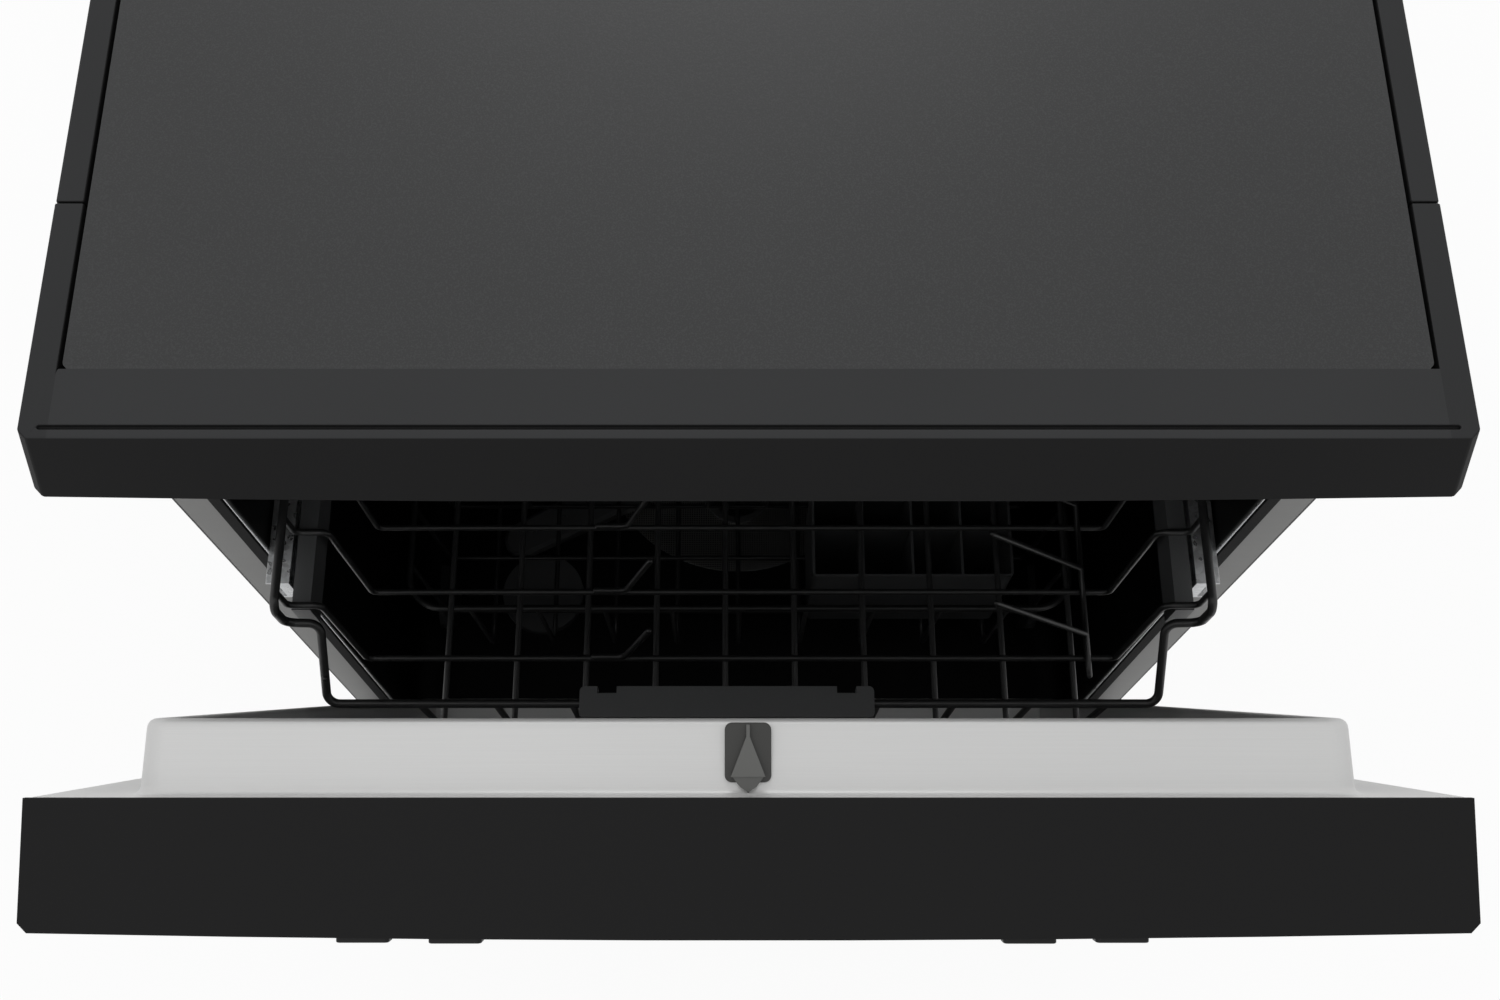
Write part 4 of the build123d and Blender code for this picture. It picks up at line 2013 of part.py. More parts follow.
# Screws of the back panel
with BuildPart() as screws:
    for x, y, z in screw_places:
        rod((x, y, z), (0, 1, 0), SCREW_HEAD, BACK_SETBACK)
        rod((x, y, z), (0, -1, 0), SCREW_SHANK, SCREW_LENGTH - 2 * SHEET)
keep(screws.part, "cabinet_screws")
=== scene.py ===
"""Looks of a freestanding dishwasher, laid out as a Blender add-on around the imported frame."""

import json
from math import cos, pi, radians, sin

import bmesh
import bpy
from bpy.props import FloatProperty, FloatVectorProperty, IntProperty, PointerProperty
from mathutils import Matrix, Vector

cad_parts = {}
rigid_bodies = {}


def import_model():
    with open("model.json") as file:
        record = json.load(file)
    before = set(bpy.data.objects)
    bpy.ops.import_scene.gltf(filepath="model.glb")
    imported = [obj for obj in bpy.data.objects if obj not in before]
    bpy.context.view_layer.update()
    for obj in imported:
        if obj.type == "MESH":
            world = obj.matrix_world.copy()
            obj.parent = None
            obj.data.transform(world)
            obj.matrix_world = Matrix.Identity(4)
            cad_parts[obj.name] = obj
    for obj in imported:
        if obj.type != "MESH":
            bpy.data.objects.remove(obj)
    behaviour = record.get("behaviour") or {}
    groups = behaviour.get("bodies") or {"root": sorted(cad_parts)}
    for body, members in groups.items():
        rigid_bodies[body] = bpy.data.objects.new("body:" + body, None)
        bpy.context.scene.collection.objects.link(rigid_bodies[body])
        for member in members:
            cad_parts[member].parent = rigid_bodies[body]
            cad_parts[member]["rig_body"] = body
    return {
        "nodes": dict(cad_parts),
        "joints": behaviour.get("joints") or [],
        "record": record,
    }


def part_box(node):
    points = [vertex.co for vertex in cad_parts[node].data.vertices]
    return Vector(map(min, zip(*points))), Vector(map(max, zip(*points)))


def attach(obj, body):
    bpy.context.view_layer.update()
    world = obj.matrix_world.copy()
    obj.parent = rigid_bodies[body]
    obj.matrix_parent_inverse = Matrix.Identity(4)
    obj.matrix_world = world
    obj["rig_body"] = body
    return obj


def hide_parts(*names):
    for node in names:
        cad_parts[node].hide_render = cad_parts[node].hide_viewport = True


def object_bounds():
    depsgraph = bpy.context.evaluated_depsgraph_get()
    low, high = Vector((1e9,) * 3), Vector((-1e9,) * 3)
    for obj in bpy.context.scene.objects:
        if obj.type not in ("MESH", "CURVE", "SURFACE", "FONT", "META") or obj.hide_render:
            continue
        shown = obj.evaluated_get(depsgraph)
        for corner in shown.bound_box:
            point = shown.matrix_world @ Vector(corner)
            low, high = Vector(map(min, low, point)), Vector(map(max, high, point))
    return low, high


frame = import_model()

bl_info = {
    "name": "Freestanding dishwasher",
    "version": (1, 0, 0),
    "blender": (4, 5, 0),
    "location": "View3D > Sidebar > Dishwasher",
    "description": "Dresses the packed dishwasher with its finishes and fine shapes",
    "category": "Add Mesh",
}

# Units, the distances under which points are one, and the places that come from the frame
MM = 0.001
WELD = 0.00002
FINE_WELD = WELD / 20
WHOLE_LOW, WHOLE_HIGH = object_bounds()
SLOTS = {part["node"]: part["material_slot"] for part in frame["record"]["subparts"]}
HINGE = next(joint for joint in frame["joints"] if joint["name"] == "door_hinge")
HINGE_PLACE = Vector(HINGE["pos_m"])
DOOR_TILT = radians(-HINGE["range_deg"][0])
DOOR_BEHIND = Vector((0, cos(DOOR_TILT), sin(DOOR_TILT)))
DOOR_UP = Vector((0, -sin(DOOR_TILT), cos(DOOR_TILT)))
SEAL_Y = HINGE_PLACE.y


def on_door(x, behind, up):
    """Place on the tilted door, from its middle, the sealing face and the hinge."""
    return HINGE_PLACE + Vector((x, 0, 0)) + DOOR_BEHIND * behind + DOOR_UP * up


# Places that both a finish and a shape use
TRIM_INNER = 286.5 * MM
TRIM_TOP_BAND = 0.2 * MM
FLANGE_DEPTH = 1.2 * MM
INSERT_HALF = 9.8 * MM
INSERT_PROUD = 1.2 * MM
WEDGE_TONE_FROM = 0.3 * MM

# Edge softness of the pieces, and the angles where shading and edges turn sharp
SHARP = 0.25 * MM
CRISP = 0.5 * MM
SOFT = 0.9 * MM
ROUND = 1.8 * MM
SMOOTH_ANGLE = radians(33)
EDGE_ANGLE = radians(38)
FLAT_ANGLE = radians(0.6)


# Node trees: one wrapped output, and one maker of nodes
class Signal:
    """Output of a node, on which plain arithmetic adds Math nodes to the same tree."""

    def __init__(self, maker, socket):
        self.maker = maker
        self.socket = socket

    def math(self, operation, first, second=0.0, clamp=False):
        """Adds one Math node on two values or signals."""
        settings = {"operation": operation, "use_clamp": clamp}
        return self.maker.node("ShaderNodeMath", settings, {0: first, 1: second})

    def __add__(self, other):
        return self.math("ADD", self, other)

    __radd__ = __add__

    def __sub__(self, other):
        return self.math("SUBTRACT", self, other)

    def __rsub__(self, other):
        return self.math("SUBTRACT", other, self)

    def __mul__(self, other):
        return self.math("MULTIPLY", self, other)

    __rmul__ = __mul__

    def __truediv__(self, other):
        return self.math("DIVIDE", self, other)

    def over(self, limit):
        """One where the signal is above the limit, zero elsewhere."""
        return self.math("GREATER_THAN", self, limit)

    def held(self):
        """The signal kept between zero and one."""
        return self.math("MULTIPLY", self, 1.0, clamp=True)


class Maker:
    """Adds nodes to one shader or geometry tree."""

    def __init__(self, tree):
        self.tree = tree
        tree.nodes.clear()

    def node(self, kind, settings=None, inputs=None, output=0):
        """One node: its settings first, then the values or links of its sockets."""
        made = self.tree.nodes.new(kind)
        for key, value in (settings or {}).items():
            setattr(made, key, value)
        for key, value in (inputs or {}).items():
            if isinstance(value, Signal):
                self.tree.links.new(value.socket, made.inputs[key])
            else:
                made.inputs[key].default_value = value
        return None if output is None else Signal(self, made.outputs[output])


class Finish(Maker):
    """Shader tree of one finish, with the few patterns that the finishes share."""

    def __init__(self, name):
        self.material = bpy.data.materials.new(name + "_finish")
        self.material.use_nodes = True
        super().__init__(self.material.node_tree)
        self.place = self.node("ShaderNodeTexCoord", output="Object")

    def axes(self):
        """The place on the object along X, Y and Z, in metres."""
        split = self.node("ShaderNodeSeparateXYZ", {}, {0: self.place}).socket.node
        return [Signal(self, split.outputs[axis]) for axis in range(3)]

    def stretched(self, scale):
        """The place scaled by its own factor along each axis."""
        return self.node("ShaderNodeMapping", {}, {"Vector": self.place, "Scale": scale})

    def noise(self, scale, detail=2.0, place=None, roughness=0.5):
        """Cloudy pattern of so many features to the metre."""
        inputs = {"Vector": place or self.place, "Scale": scale, "Detail": detail, "Roughness": roughness}
        return self.node("ShaderNodeTexNoise", {"normalize": True}, inputs)

    def cells(self, scale, output="Distance"):
        """Cell pattern of so many cells to the metre."""
        return self.node("ShaderNodeTexVoronoi", {}, {"Vector": self.place, "Scale": scale}, output)

    def between(self, factor, first, second):
        """Colour mixed from two colours or signals by a factor."""
        inputs = {0: factor, 6: opaque(first), 7: opaque(second)}
        return self.node("ShaderNodeMix", {"data_type": "RGBA"}, inputs, output=2)

    def surface(self, colour, roughness, metal=0.0, relief=None, depth=0.1 * MM, strength=0.5, **constants):
        """Closes the tree with the shader, a bump where there is relief, and the output."""
        inputs = {"Base Color": opaque(colour), "Roughness": roughness, "Metallic": metal}
        inputs.update({key.replace("_", " "): value for key, value in constants.items()})
        if relief is not None:
            bump = {"Height": relief, "Distance": depth, "Strength": strength}
            inputs["Normal"] = self.node("ShaderNodeBump", {}, bump)
        shader = self.node("ShaderNodeBsdfPrincipled", {}, inputs)
        self.node("ShaderNodeOutputMaterial", {}, {"Surface": shader}, output=None)
        return self.material


def opaque(colour):
    """A colour with its alpha, or a signal as it is."""
    return colour if isinstance(colour, Signal) else (*colour, 1)


def shade(colour, factor):
    """A colour made lighter or darker by a factor."""
    return tuple(min(1.0, channel * factor) for channel in colour)


# Settings that a user would change
def colour_setting(name, description, default):
    """Colour in a group of settings."""
    return FloatVectorProperty(name=name, description=description, subtype="COLOR", default=default)


def length_setting(name, description, default):
    """Length in a group of settings, in metres."""
    return FloatProperty(name=name, description=description, default=default, unit="LENGTH")


class FinishColours(bpy.types.PropertyGroup):
    """Base colours of the finishes."""

    laminate: colour_setting("Laminate", "Worktop panel", (0.0265, 0.0272, 0.0280))
    trim: colour_setting("Trim", "Dark plastic trims and fascia", (0.0128, 0.0128, 0.0131))
    paint: colour_setting("Paint", "Paint of the cabinet and door", (0.0105, 0.0106, 0.0110))
    liner: colour_setting("Liner", "Satin steel of the inner door", (0.74, 0.74, 0.735))
    flange: colour_setting("Flange", "Satin steel of the tub's front", (0.21, 0.21, 0.205))
    # Painted shade: a near-black colour for the tub's inside steel, standing in for the shade in the tub.
    tub_inside_painted_shade: colour_setting("Tub inside", "Steel inside the tub, seen in shadow", (0.012, 0.012, 0.0125))
    # Painted light: the front trim's top gets a tone lighter than the trim, standing in for the light that
    # the worktop's top catches.
    front: colour_setting("Front trim top", "Top of the front trim", (0.050, 0.051, 0.0525))
    plate: colour_setting("Latch plate", "Plate of the latch insert", (0.078, 0.078, 0.075))
    wedge: colour_setting("Latch wedge", "Wedge on the latch plate", (0.185, 0.187, 0.18))
    wire: colour_setting("Rack wire", "Nylon coat of the racks", (0.016, 0.0162, 0.0165))
    grey: colour_setting("Grey plastic", "Moulded inner pieces", (0.085, 0.087, 0.089))
    light: colour_setting("Light plastic", "Pale moulded pieces", (0.62, 0.63, 0.62))


class LinerSizes(bpy.types.PropertyGroup):
    """Sizes of the pressed inner door."""

    half: length_setting("Half width", "Half the sheet's width", 297 * MM)
    low: length_setting("Lower edge", "Sheet's lower edge over the hinge", 18 * MM)
    high: length_setting("Upper edge", "Sheet's upper edge over the hinge", 705.7 * MM)
    ahead: length_setting("Door gap", "Sheet's place ahead of the tub", 3 * MM)
    sheet: length_setting("Sheet", "Thickness of the steel", 1.2 * MM)
    rim_half: length_setting("Rim half width", "Half the raised rim's width", 259.5 * MM)
    rim_low: length_setting("Rim foot", "Raised rim's lower side", 42 * MM)
    rim_top: length_setting("Rim top", "Raised rim's upper side", 696 * MM)
    crest: length_setting("Crest", "How far the rim stands into the tub", 29 * MM)
    land: length_setting("Land", "Width of the rim's crest", 11 * MM)
    corner: length_setting("Corner", "Corner radius of the rim", 14 * MM)
    recess: length_setting("Recess", "Depth of the inner field", 22 * MM)
    draft: length_setting("Draft", "Lean of the rim's outer wall", 2 * MM)
    steps: IntProperty(name="Corner steps", description="Faces around each corner", default=10, min=3, max=24)


class RackSizes(bpy.types.PropertyGroup):
    """Sizes of what is added to the racks."""

    tip: length_setting("Wire tip", "Radius of a wire's rounded tip", 1.9 * MM)
    tread: IntProperty(name="Tread bars", description="Grip bars round each wheel", default=24, min=6, max=60)
    ribs: IntProperty(name="Grip ribs", description="Ribs under the rack's handle", default=15, min=2, max=40)


class CabinetSizes(bpy.types.PropertyGroup):
    """Sizes of what is added to the cabinet."""

    bead: length_setting("Tub bead", "Radius of the rolled edge of the tub", 0.9 * MM)
    recess: length_setting("Screw recess", "Depth of a screw's cross recess", 0.7 * MM)
    seed: IntProperty(name="Seed", description="Fixed seed of the screws' turn", default=7)


class StageSettings(bpy.types.PropertyGroup):
    """Camera, lamps and floor."""

    camera: FloatVectorProperty(
        name="Camera", description="Camera's place", subtype="TRANSLATION", default=(-0.0087, -0.4511, 1.4535)
    )
    pitch: FloatProperty(
        name="Pitch", description="Camera's tilt below the horizon", subtype="ANGLE", default=radians(69.4)
    )
    lens: FloatProperty(name="Lens", description="Focal length in millimetres", default=38.54)
    shift: FloatProperty(name="Shift", description="Sideways shift of the picture", default=0.0151)
    world: FloatProperty(name="World", description="Strength of the plain surroundings", default=0.55)
    key: FloatProperty(name="Key lamp", description="Power of the soft lamp overhead", default=6.0)
    rear: FloatProperty(name="Rear lamp", description="Power of the lamp behind the worktop", default=20.0)
    floor: length_setting("Floor", "Half size of the floor", 30.0)


GROUPS = {
    "dishwasher_colours": FinishColours,
    "dishwasher_liner": LinerSizes,
    "dishwasher_racks": RackSizes,
    "dishwasher_cabinet": CabinetSizes,
    "dishwasher_stage": StageSettings,
}


def chosen(group):
    """Settings of one group, as they stand on the scene."""
    return getattr(bpy.context.scene, "dishwasher_" + group)


# Finishes, one function for each material slot
def worktop_laminate():
    """Satin laminate with a fine pebbled press and faint cloudiness."""
    finish = Finish("worktop_laminate")
    base = chosen("colours").laminate
    cloud = finish.noise(5, 3)
    pebble = finish.noise(620, 3, roughness=0.62)
    speck = finish.cells(1500).over(0.62)
    colour = finish.between(cloud, shade(base, 0.88), shade(base, 1.14))
    colour = finish.between(speck * 0.35, colour, shade(base, 1.9))
    rough = 0.36 + 0.07 * cloud + 0.06 * pebble
    pressed = {"relief": pebble, "depth": 0.12 * MM, "strength": 0.35}
    return finish.surface(colour, rough, Specular_IOR_Level=0.36, **pressed)


def grained_plastic(name, base, scale, rough, depth=0.08 * MM, level=0.22, spread=0.12, finish=None):
    """Moulded plastic with an eroded grain, on which grey shows a little in the valleys."""
    finish = finish or Finish(name)
    grain = finish.noise(scale, 4, roughness=0.6)
    cloud = finish.noise(9, 2)
    if isinstance(base, Signal):
        colour = finish.between(0.25 * cloud, base, shade(chosen("colours").trim, 1 + spread))
    else:
        colour = finish.between(cloud, shade(base, 1 - spread), shade(base, 1 + spread))
        colour = finish.between((grain - 0.5).held() * 0.8, colour, shade(base, 1.6))
    roughness = rough + 0.1 * grain - 0.06 * cloud
    return finish.surface(colour, roughness, relief=grain, depth=depth, Specular_IOR_Level=level)


def dark_trim():
    """Fine grained black-grey trim and fascia; the front trim's top is painted light, lighter than the trim
    to the lit tone of the laminate, with painted shade towards the sides.
    """
    finish = Finish("dark_trim")
    colours = chosen("colours")
    across, _, height = finish.axes()
    # Painted light and shade: the top band is lighter than the trim's plastic, and a little darker out past
    # TRIM_INNER towards the sides.
    middle = 1.0 - (across * across).over(TRIM_INNER**2)
    tone = finish.between(middle, shade(colours.front, 0.8), colours.front)
    base = finish.between(height.over(WHOLE_HIGH.z - TRIM_TOP_BAND), colours.trim, tone)
    return grained_plastic("dark_trim", base, 900, 0.5, level=0.1, finish=finish)


def button_plastic():
    """Smoother plastic: dark on the keys, grey on the latch plate and paler on its wedge."""
    finish = Finish("button_plastic")
    colours = chosen("colours")
    across = finish.axes()[0]
    plate = 1.0 - (across * across).over((2 * INSERT_HALF) ** 2)
    along = {0: finish.place, 1: DOOR_UP}
    reach = finish.node("ShaderNodeVectorMath", {"operation": "DOT_PRODUCT"}, along, "Value")
    face = HINGE_PLACE.dot(DOOR_UP) + chosen("liner").rim_top + INSERT_PROUD
    paler = finish.between(reach.over(face + WEDGE_TONE_FROM), colours.plate, colours.wedge)
    base = finish.between(plate, colours.trim, paler)
    return grained_plastic("button_plastic", base, 1500, 0.4, 0.04 * MM, 0.2, finish=finish)


def painted_steel(name, base, level):
    """Powder paint with its orange peel."""
    finish = Finish(name)
    peel = finish.noise(330, 2)
    fine = finish.noise(1300, 2)
    cloud = finish.noise(4, 2)
    colour = finish.between(cloud, shade(base, 0.93), shade(base, 1.08))
    colour = finish.between((fine - 0.56).held() * 2.0, colour, shade(base, 1.5))
    rough = 0.42 + 0.08 * cloud + 0.04 * fine
    return finish.surface(colour, rough, relief=peel + 0.35 * fine, strength=0.4, Specular_IOR_Level=level)


def dark_paint():
    """Cabinet paint."""
    return painted_steel("dark_paint", shade(chosen("colours").paint, 1.5), 0.35)


def door_paint():
    """Paint of the outer door, a shade darker."""
    return painted_steel("door_paint", chosen("colours").paint, 0.25)


def brushed(finish, scale):
    """Long scratches, drawn out along one axis by a stretched place."""
    return finish.noise(1.0, 3, finish.stretched(scale), 0.65)


def tub_steel():
    """Satin flange in front; behind it the brushed steel is painted near black, as painted shade inside the
    tub.
    """
    finish = Finish("tub_steel")
    colours = chosen("colours")
    depth = finish.axes()[1]
    # Painted shade: behind the flange the steel takes a near-black colour that stands in for the shade inside
    # the tub; the flange keeps its satin grey.
    inside = ((depth - (SEAL_Y + FLANGE_DEPTH)) / FLANGE_DEPTH).held()
    lines = brushed(finish, (40, 40, 2600))
    cloud = finish.noise(7, 3)
    flange = finish.between(cloud, shade(colours.flange, 0.9), shade(colours.flange, 1.1))
    painted_shade_steel = finish.between(lines, shade(colours.tub_inside_painted_shade, 0.8), shade(colours.tub_inside_painted_shade, 1.3))
    colour = finish.between(inside, flange, painted_shade_steel)
    rough = 0.4 + 0.12 * lines + 0.05 * cloud
    metal = 0.35 + 0.6 * inside
    return finish.surface(colour, rough, metal, relief=lines, depth=0.03 * MM, strength=0.3)


def liner_steel():
    """Light satin steel with fine drawn lines and soft stains."""
    finish = Finish("liner_steel")
    base = chosen("colours").liner
    lines = brushed(finish, (12, 2200, 2200))
    cloud = finish.noise(6, 3)
    colour = finish.between(lines, shade(base, 0.94), shade(base, 1.05))
    colour = finish.between(0.35 * cloud, colour, shade(base, 0.86))
    rough = 0.34 + 0.1 * lines + 0.1 * cloud
    return finish.surface(colour, rough, 0.3, relief=lines, depth=0.02 * MM, strength=0.25)


def spangled(name, base, scale, rough):
    """Zinc coat with its crystal spangle."""
    finish = Finish(name)
    tone = finish.cells(scale, "Color")
    grey = finish.node("ShaderNodeRGBToBW", {}, {0: tone})
    fine = finish.noise(700, 2)
    colour = finish.between(grey, shade(base, 0.82), shade(base, 1.18))
    return finish.surface(colour, rough + 0.18 * grey, 0.85, relief=fine, depth=0.03 * MM, strength=0.3)


def back_steel():
    """Galvanised back panel."""
    return spangled("back_steel", (0.36, 0.37, 0.375), 90, 0.34)


def zinc_steel():
    """Bright zinc on hinges, rails, springs and screws."""
    return spangled("zinc_steel", (0.6, 0.61, 0.62), 420, 0.24)


def black_rubber():
    """Dull rubber with a powdery bloom."""
    return grained_plastic("black_rubber", (0.0055, 0.0055, 0.0058), 520, 0.68, 0.15 * MM, 0.12, 0.2)


def bitumen():
    """Damping mats and felt round the tub."""
    finish = Finish("bitumen")
    coarse = finish.noise(180, 5, roughness=0.7)
    fleck = finish.cells(650).over(0.6)
    colour = finish.between(coarse, (0.006, 0.006, 0.006), (0.03, 0.029, 0.027))
    colour = finish.between(fleck * 0.3, colour, (0.09, 0.088, 0.08))
    return finish.surface(colour, 0.78 + 0.15 * coarse, relief=coarse, depth=0.9 * MM, strength=0.7)


def base_plastic():
    """Glass-filled plastic of the base."""
    return grained_plastic("base_plastic", (0.022, 0.0225, 0.023), 420, 0.5, 0.15 * MM, 0.3, 0.2)


def grey_plastic():
    """Moulded grey pieces of racks, arms and dispenser."""
    return grained_plastic("grey_plastic", chosen("colours").grey, 1100, 0.4, 0.05 * MM, 0.35)


def light_plastic():
    """Pale moulded pieces."""
    return grained_plastic("light_plastic", chosen("colours").light, 800, 0.36, 0.05 * MM, 0.4, 0.05)


def clear_plastic():
    """Milky see-through wall of the water box, with moulding flow."""
    finish = Finish("clear_plastic")
    flow = finish.noise(22, 4)
    colour = finish.between(flow, (0.55, 0.6, 0.6), (0.8, 0.83, 0.82))
    return finish.surface(colour, 0.16 + 0.2 * flow, relief=flow, depth=0.3 * MM, Transmission_Weight=0.55)


def rack_wire():
    """Nylon coated wire, slightly uneven where the coat pooled."""
    finish = Finish("rack_wire")
    base = chosen("colours").wire
    pooled = finish.noise(150, 2)
    fine = finish.noise(1800, 2)
    colour = finish.between(pooled, shade(base, 0.8), shade(base, 1.3))
    rough = 0.3 + 0.12 * pooled + 0.08 * fine
    return finish.surface(colour, rough, relief=pooled + 0.3 * fine, depth=0.12 * MM, Specular_IOR_Level=0.45)


def wheel_plastic():
    """Worn dark plastic of rollers and wheels."""
    base = shade(chosen("colours").grey, 0.7)
    return grained_plastic("wheel_plastic", base, 600, 0.42, 0.1 * MM, 0.35, 0.25)


def pump_housing():
    """Pale glass-filled pump plastic with moulding flow."""
    return grained_plastic("pump_housing", (0.34, 0.34, 0.32), 380, 0.48, 0.15 * MM, 0.35, 0.14)


HOLE_PITCH = 2 * MM
HOLE_SHARE = 0.3
HOLES_ASIDE = 1000.0


def filter_steel():
    """Steel sheet with its rows of small round holes, painted near black as the shade seen through them."""
    finish = Finish("filter_steel")
    across, along, _ = finish.axes()
    rings = []
    for axis in (across, along):
        cell = axis.math("FRACT", axis / HOLE_PITCH + HOLES_ASIDE)
        rings.append((cell - 0.5) * (cell - 0.5))
    hole = 1.0 - (rings[0] + rings[1]).over(HOLE_SHARE**2)
    lines = brushed(finish, (30, 2200, 2200))
    colour = finish.between(lines, (0.42, 0.42, 0.41), (0.56, 0.56, 0.55))
    # Painted shade: the holes take a near-black colour that stands in for the shade behind the sheet.
    colour = finish.between(hole, colour, (0.008, 0.008, 0.008))
    metal = 0.9 - 0.9 * hole
    return finish.surface(colour, 0.3 + 0.5 * hole, metal, relief=1.0 - hole, depth=0.3 * MM)


def board_green():
    """Solder mask over copper tracks."""
    finish = Finish("board_green")
    across, _, upward = finish.axes()
    track = (across.math("FRACT", across * 160.0) - 0.8).held().over(0.02)
    step = (upward.math("FRACT", upward * 120.0) - 0.82).held().over(0.02)
    colour = finish.between(finish.noise(60, 2), (0.012, 0.08, 0.03), (0.02, 0.12, 0.045))
    colour = finish.between((track + step).held() * 0.5, colour, (0.05, 0.22, 0.08))
    rough = 0.32 + 0.2 * finish.noise(300)
    return finish.surface(colour, rough, relief=track, depth=0.05 * MM, Coat_Weight=0.3)


FINISHES = {
    made.__name__: made
    for made in (
        worktop_laminate, dark_trim, dark_paint, door_paint, button_plastic, tub_steel, liner_steel,
        back_steel, zinc_steel, black_rubber, bitumen, base_plastic, grey_plastic, light_plastic,
        clear_plastic, rack_wire, wheel_plastic, pump_housing, filter_steel, board_green,
    )
}
MADE = {}


def finish_of(slot):
    """The finish of a slot, made once."""
    if slot not in MADE:
        MADE[slot] = FINISHES[slot]()
    return MADE[slot]


# Mesh helpers
def linked(name, data):
    """New object at the origin, for a mesh, a lamp or a camera."""
    made = bpy.data.objects.new(name, data)
    bpy.context.scene.collection.objects.link(made)
    return made


def from_bmesh(name, shape):
    """Object from a bmesh, which is freed."""
    mesh = bpy.data.meshes.new(name)
    shape.to_mesh(mesh)
    shape.free()
    return linked(name, mesh)


def applied(piece):
    """Replaces a piece by its evaluated mesh, with no modifier left."""
    graph = bpy.context.evaluated_depsgraph_get()
    mesh = bpy.data.meshes.new_from_object(piece.evaluated_get(graph), depsgraph=graph)
    piece.modifiers.clear()
    piece.data = mesh
    return piece


def modified(piece, kind, **settings):
    """Adds one modifier with its settings and applies it."""
    modifier = piece.modifiers.new(kind.lower(), kind)
    for key, value in settings.items():
        setattr(modifier, key, value)
    return applied(piece)


def smoothed(piece, angle=SMOOTH_ANGLE):
    """Smooth shading, with sharp edges past an angle."""
    piece.data.polygons.foreach_set("use_smooth", [True] * len(piece.data.polygons))
    piece.data.set_sharp_from_angle(angle=angle)
    return piece


def settled(piece, body, slot, *nodes):
    """Gives a finished piece the finish of its slot and hangs it on its body; the nodes it stands for are
    hidden.
    """
    piece.data.materials.clear()
    piece.data.materials.append(finish_of(slot))
    if nodes:
        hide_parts(*nodes)
    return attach(piece, body)


def merged(node):
    """Closed bmesh copied from a node's loose triangles, with flat faces joined."""
    shape = bmesh.new()
    shape.from_mesh(frame["nodes"][node].data)
    bmesh.ops.remove_doubles(shape, verts=shape.verts, dist=WELD)
    bmesh.ops.dissolve_limit(shape, angle_limit=FLAT_ANGLE, verts=shape.verts, edges=shape.edges)
    return shape


def body_of(node):
    """Body that a node belongs to."""
    return frame["nodes"][node]["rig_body"]


def weighed(shape, where):
    """Marks the edges that get rounded: those of two faces at an angle, where the place allows."""
    weight = shape.edges.layers.float.new("bevel_weight_edge")
    for edge in shape.edges:
        middle = (edge.verts[0].co + edge.verts[1].co) / 2
        if len(edge.link_faces) == 2 and edge.calc_face_angle() > EDGE_ANGLE and where(middle):
            edge[weight] = 1.0
    return shape


def dressed(node, edge=0.0, where=lambda place: True):
    """Copy of a node with rounded edges and smooth shading, which stands for the node."""
    piece = from_bmesh(node + "_dressed", weighed(merged(node), where))
    if edge:
        modified(
            piece, "BEVEL", width=edge, segments=3 if edge > SOFT else 2, limit_method="WEIGHT",
            use_clamp_overlap=True, harden_normals=False, miter_outer="MITER_ARC",
        )
    smoothed(piece)
    modified(piece, "WEIGHTED_NORMAL", keep_sharp=True)
    return settled(piece, body_of(node), SLOTS[node], node)


def dress_all(edges):
    """Dresses each node of a table of edge softness."""
    for node, edge in edges.items():
        dressed(node, edge)


def islands(node):
    """Lowest and highest corner of each separate solid of a node."""
    shape = merged(node)
    left = set(shape.verts)
    found = []
    while left:
        queue = [left.pop()]
        group = list(queue)
        while queue:
            for edge in queue.pop().link_edges:
                for vert in edge.verts:
                    if vert in left:
                        left.remove(vert)
                        queue.append(vert)
                        group.append(vert)
        axes = list(zip(*(vert.co for vert in group)))
        found.append((Vector(map(min, axes)), Vector(map(max, axes))))
    shape.free()
    return sorted(found, key=lambda box: tuple(round(value, 5) for value in box[0]))


def lathe(profile, steps):
    """Closed bmesh of a profile of radius and height turned about Z."""
    shape = bmesh.new()
    rings = []
    for radius, height in profile:
        if radius == 0:
            rings.append([shape.verts.new((0, 0, height))])
        else:
            angles = [2 * pi * step / steps for step in range(steps)]
            rings.append([shape.verts.new((radius * cos(a), radius * sin(a), height)) for a in angles])
    bridged(shape, rings)
    bmesh.ops.recalc_face_normals(shape, faces=shape.faces)
    return shape


def bridged(shape, rings):
    """Faces between closed rings of points, where a ring of one point is a pole."""
    for first, second in zip(rings, rings[1:]):
        count = max(len(first), len(second))
        for step in range(count):
            after = (step + 1) % count
            loop = [first[step % len(first)], first[after % len(first)]]
            loop += [second[after % len(second)], second[step % len(second)]]
            corners = list(dict.fromkeys(loop))
            if len(corners) > 2:
                shape.faces.new(corners)


def capped(shape, rings):
    """Faces between rings of points, and a face on the first and the last of them."""
    bridged(shape, rings)
    shape.faces.new(rings[0])
    shape.faces.new(rings[-1])


def mirrored(side, middle=()):
    """Outline of one side's points, those on the middle line, and the other side's going back."""
    return [*side, *middle, *((-point[0], *point[1:]) for point in reversed(side))]


# Geometry Nodes: a shape set on points, and a section swept along a path
def interface(name, sockets):
    """Geometry tree with named inputs, and the maker of its nodes."""
    tree = bpy.data.node_groups.new(name, "GeometryNodeTree")
    for label, kind in sockets.items():
        tree.interface.new_socket(label, in_out="INPUT", socket_type=kind)
    tree.interface.new_socket("Geometry", in_out="OUTPUT", socket_type="NodeSocketGeometry")
    maker = Maker(tree)
    given = maker.node("NodeGroupInput").socket.node
    signals = {label: Signal(maker, given.outputs[label]) for label in sockets}
    return tree, maker, signals


def close_tree(maker, geometry, finish):
    """Ends a tree in real geometry with its material."""
    real = maker.node("GeometryNodeRealizeInstances", {}, {0: geometry})
    painted = maker.node("GeometryNodeSetMaterial", {}, {"Geometry": real, "Material": finish})
    maker.node("NodeGroupOutput", {}, {0: painted}, output=None)


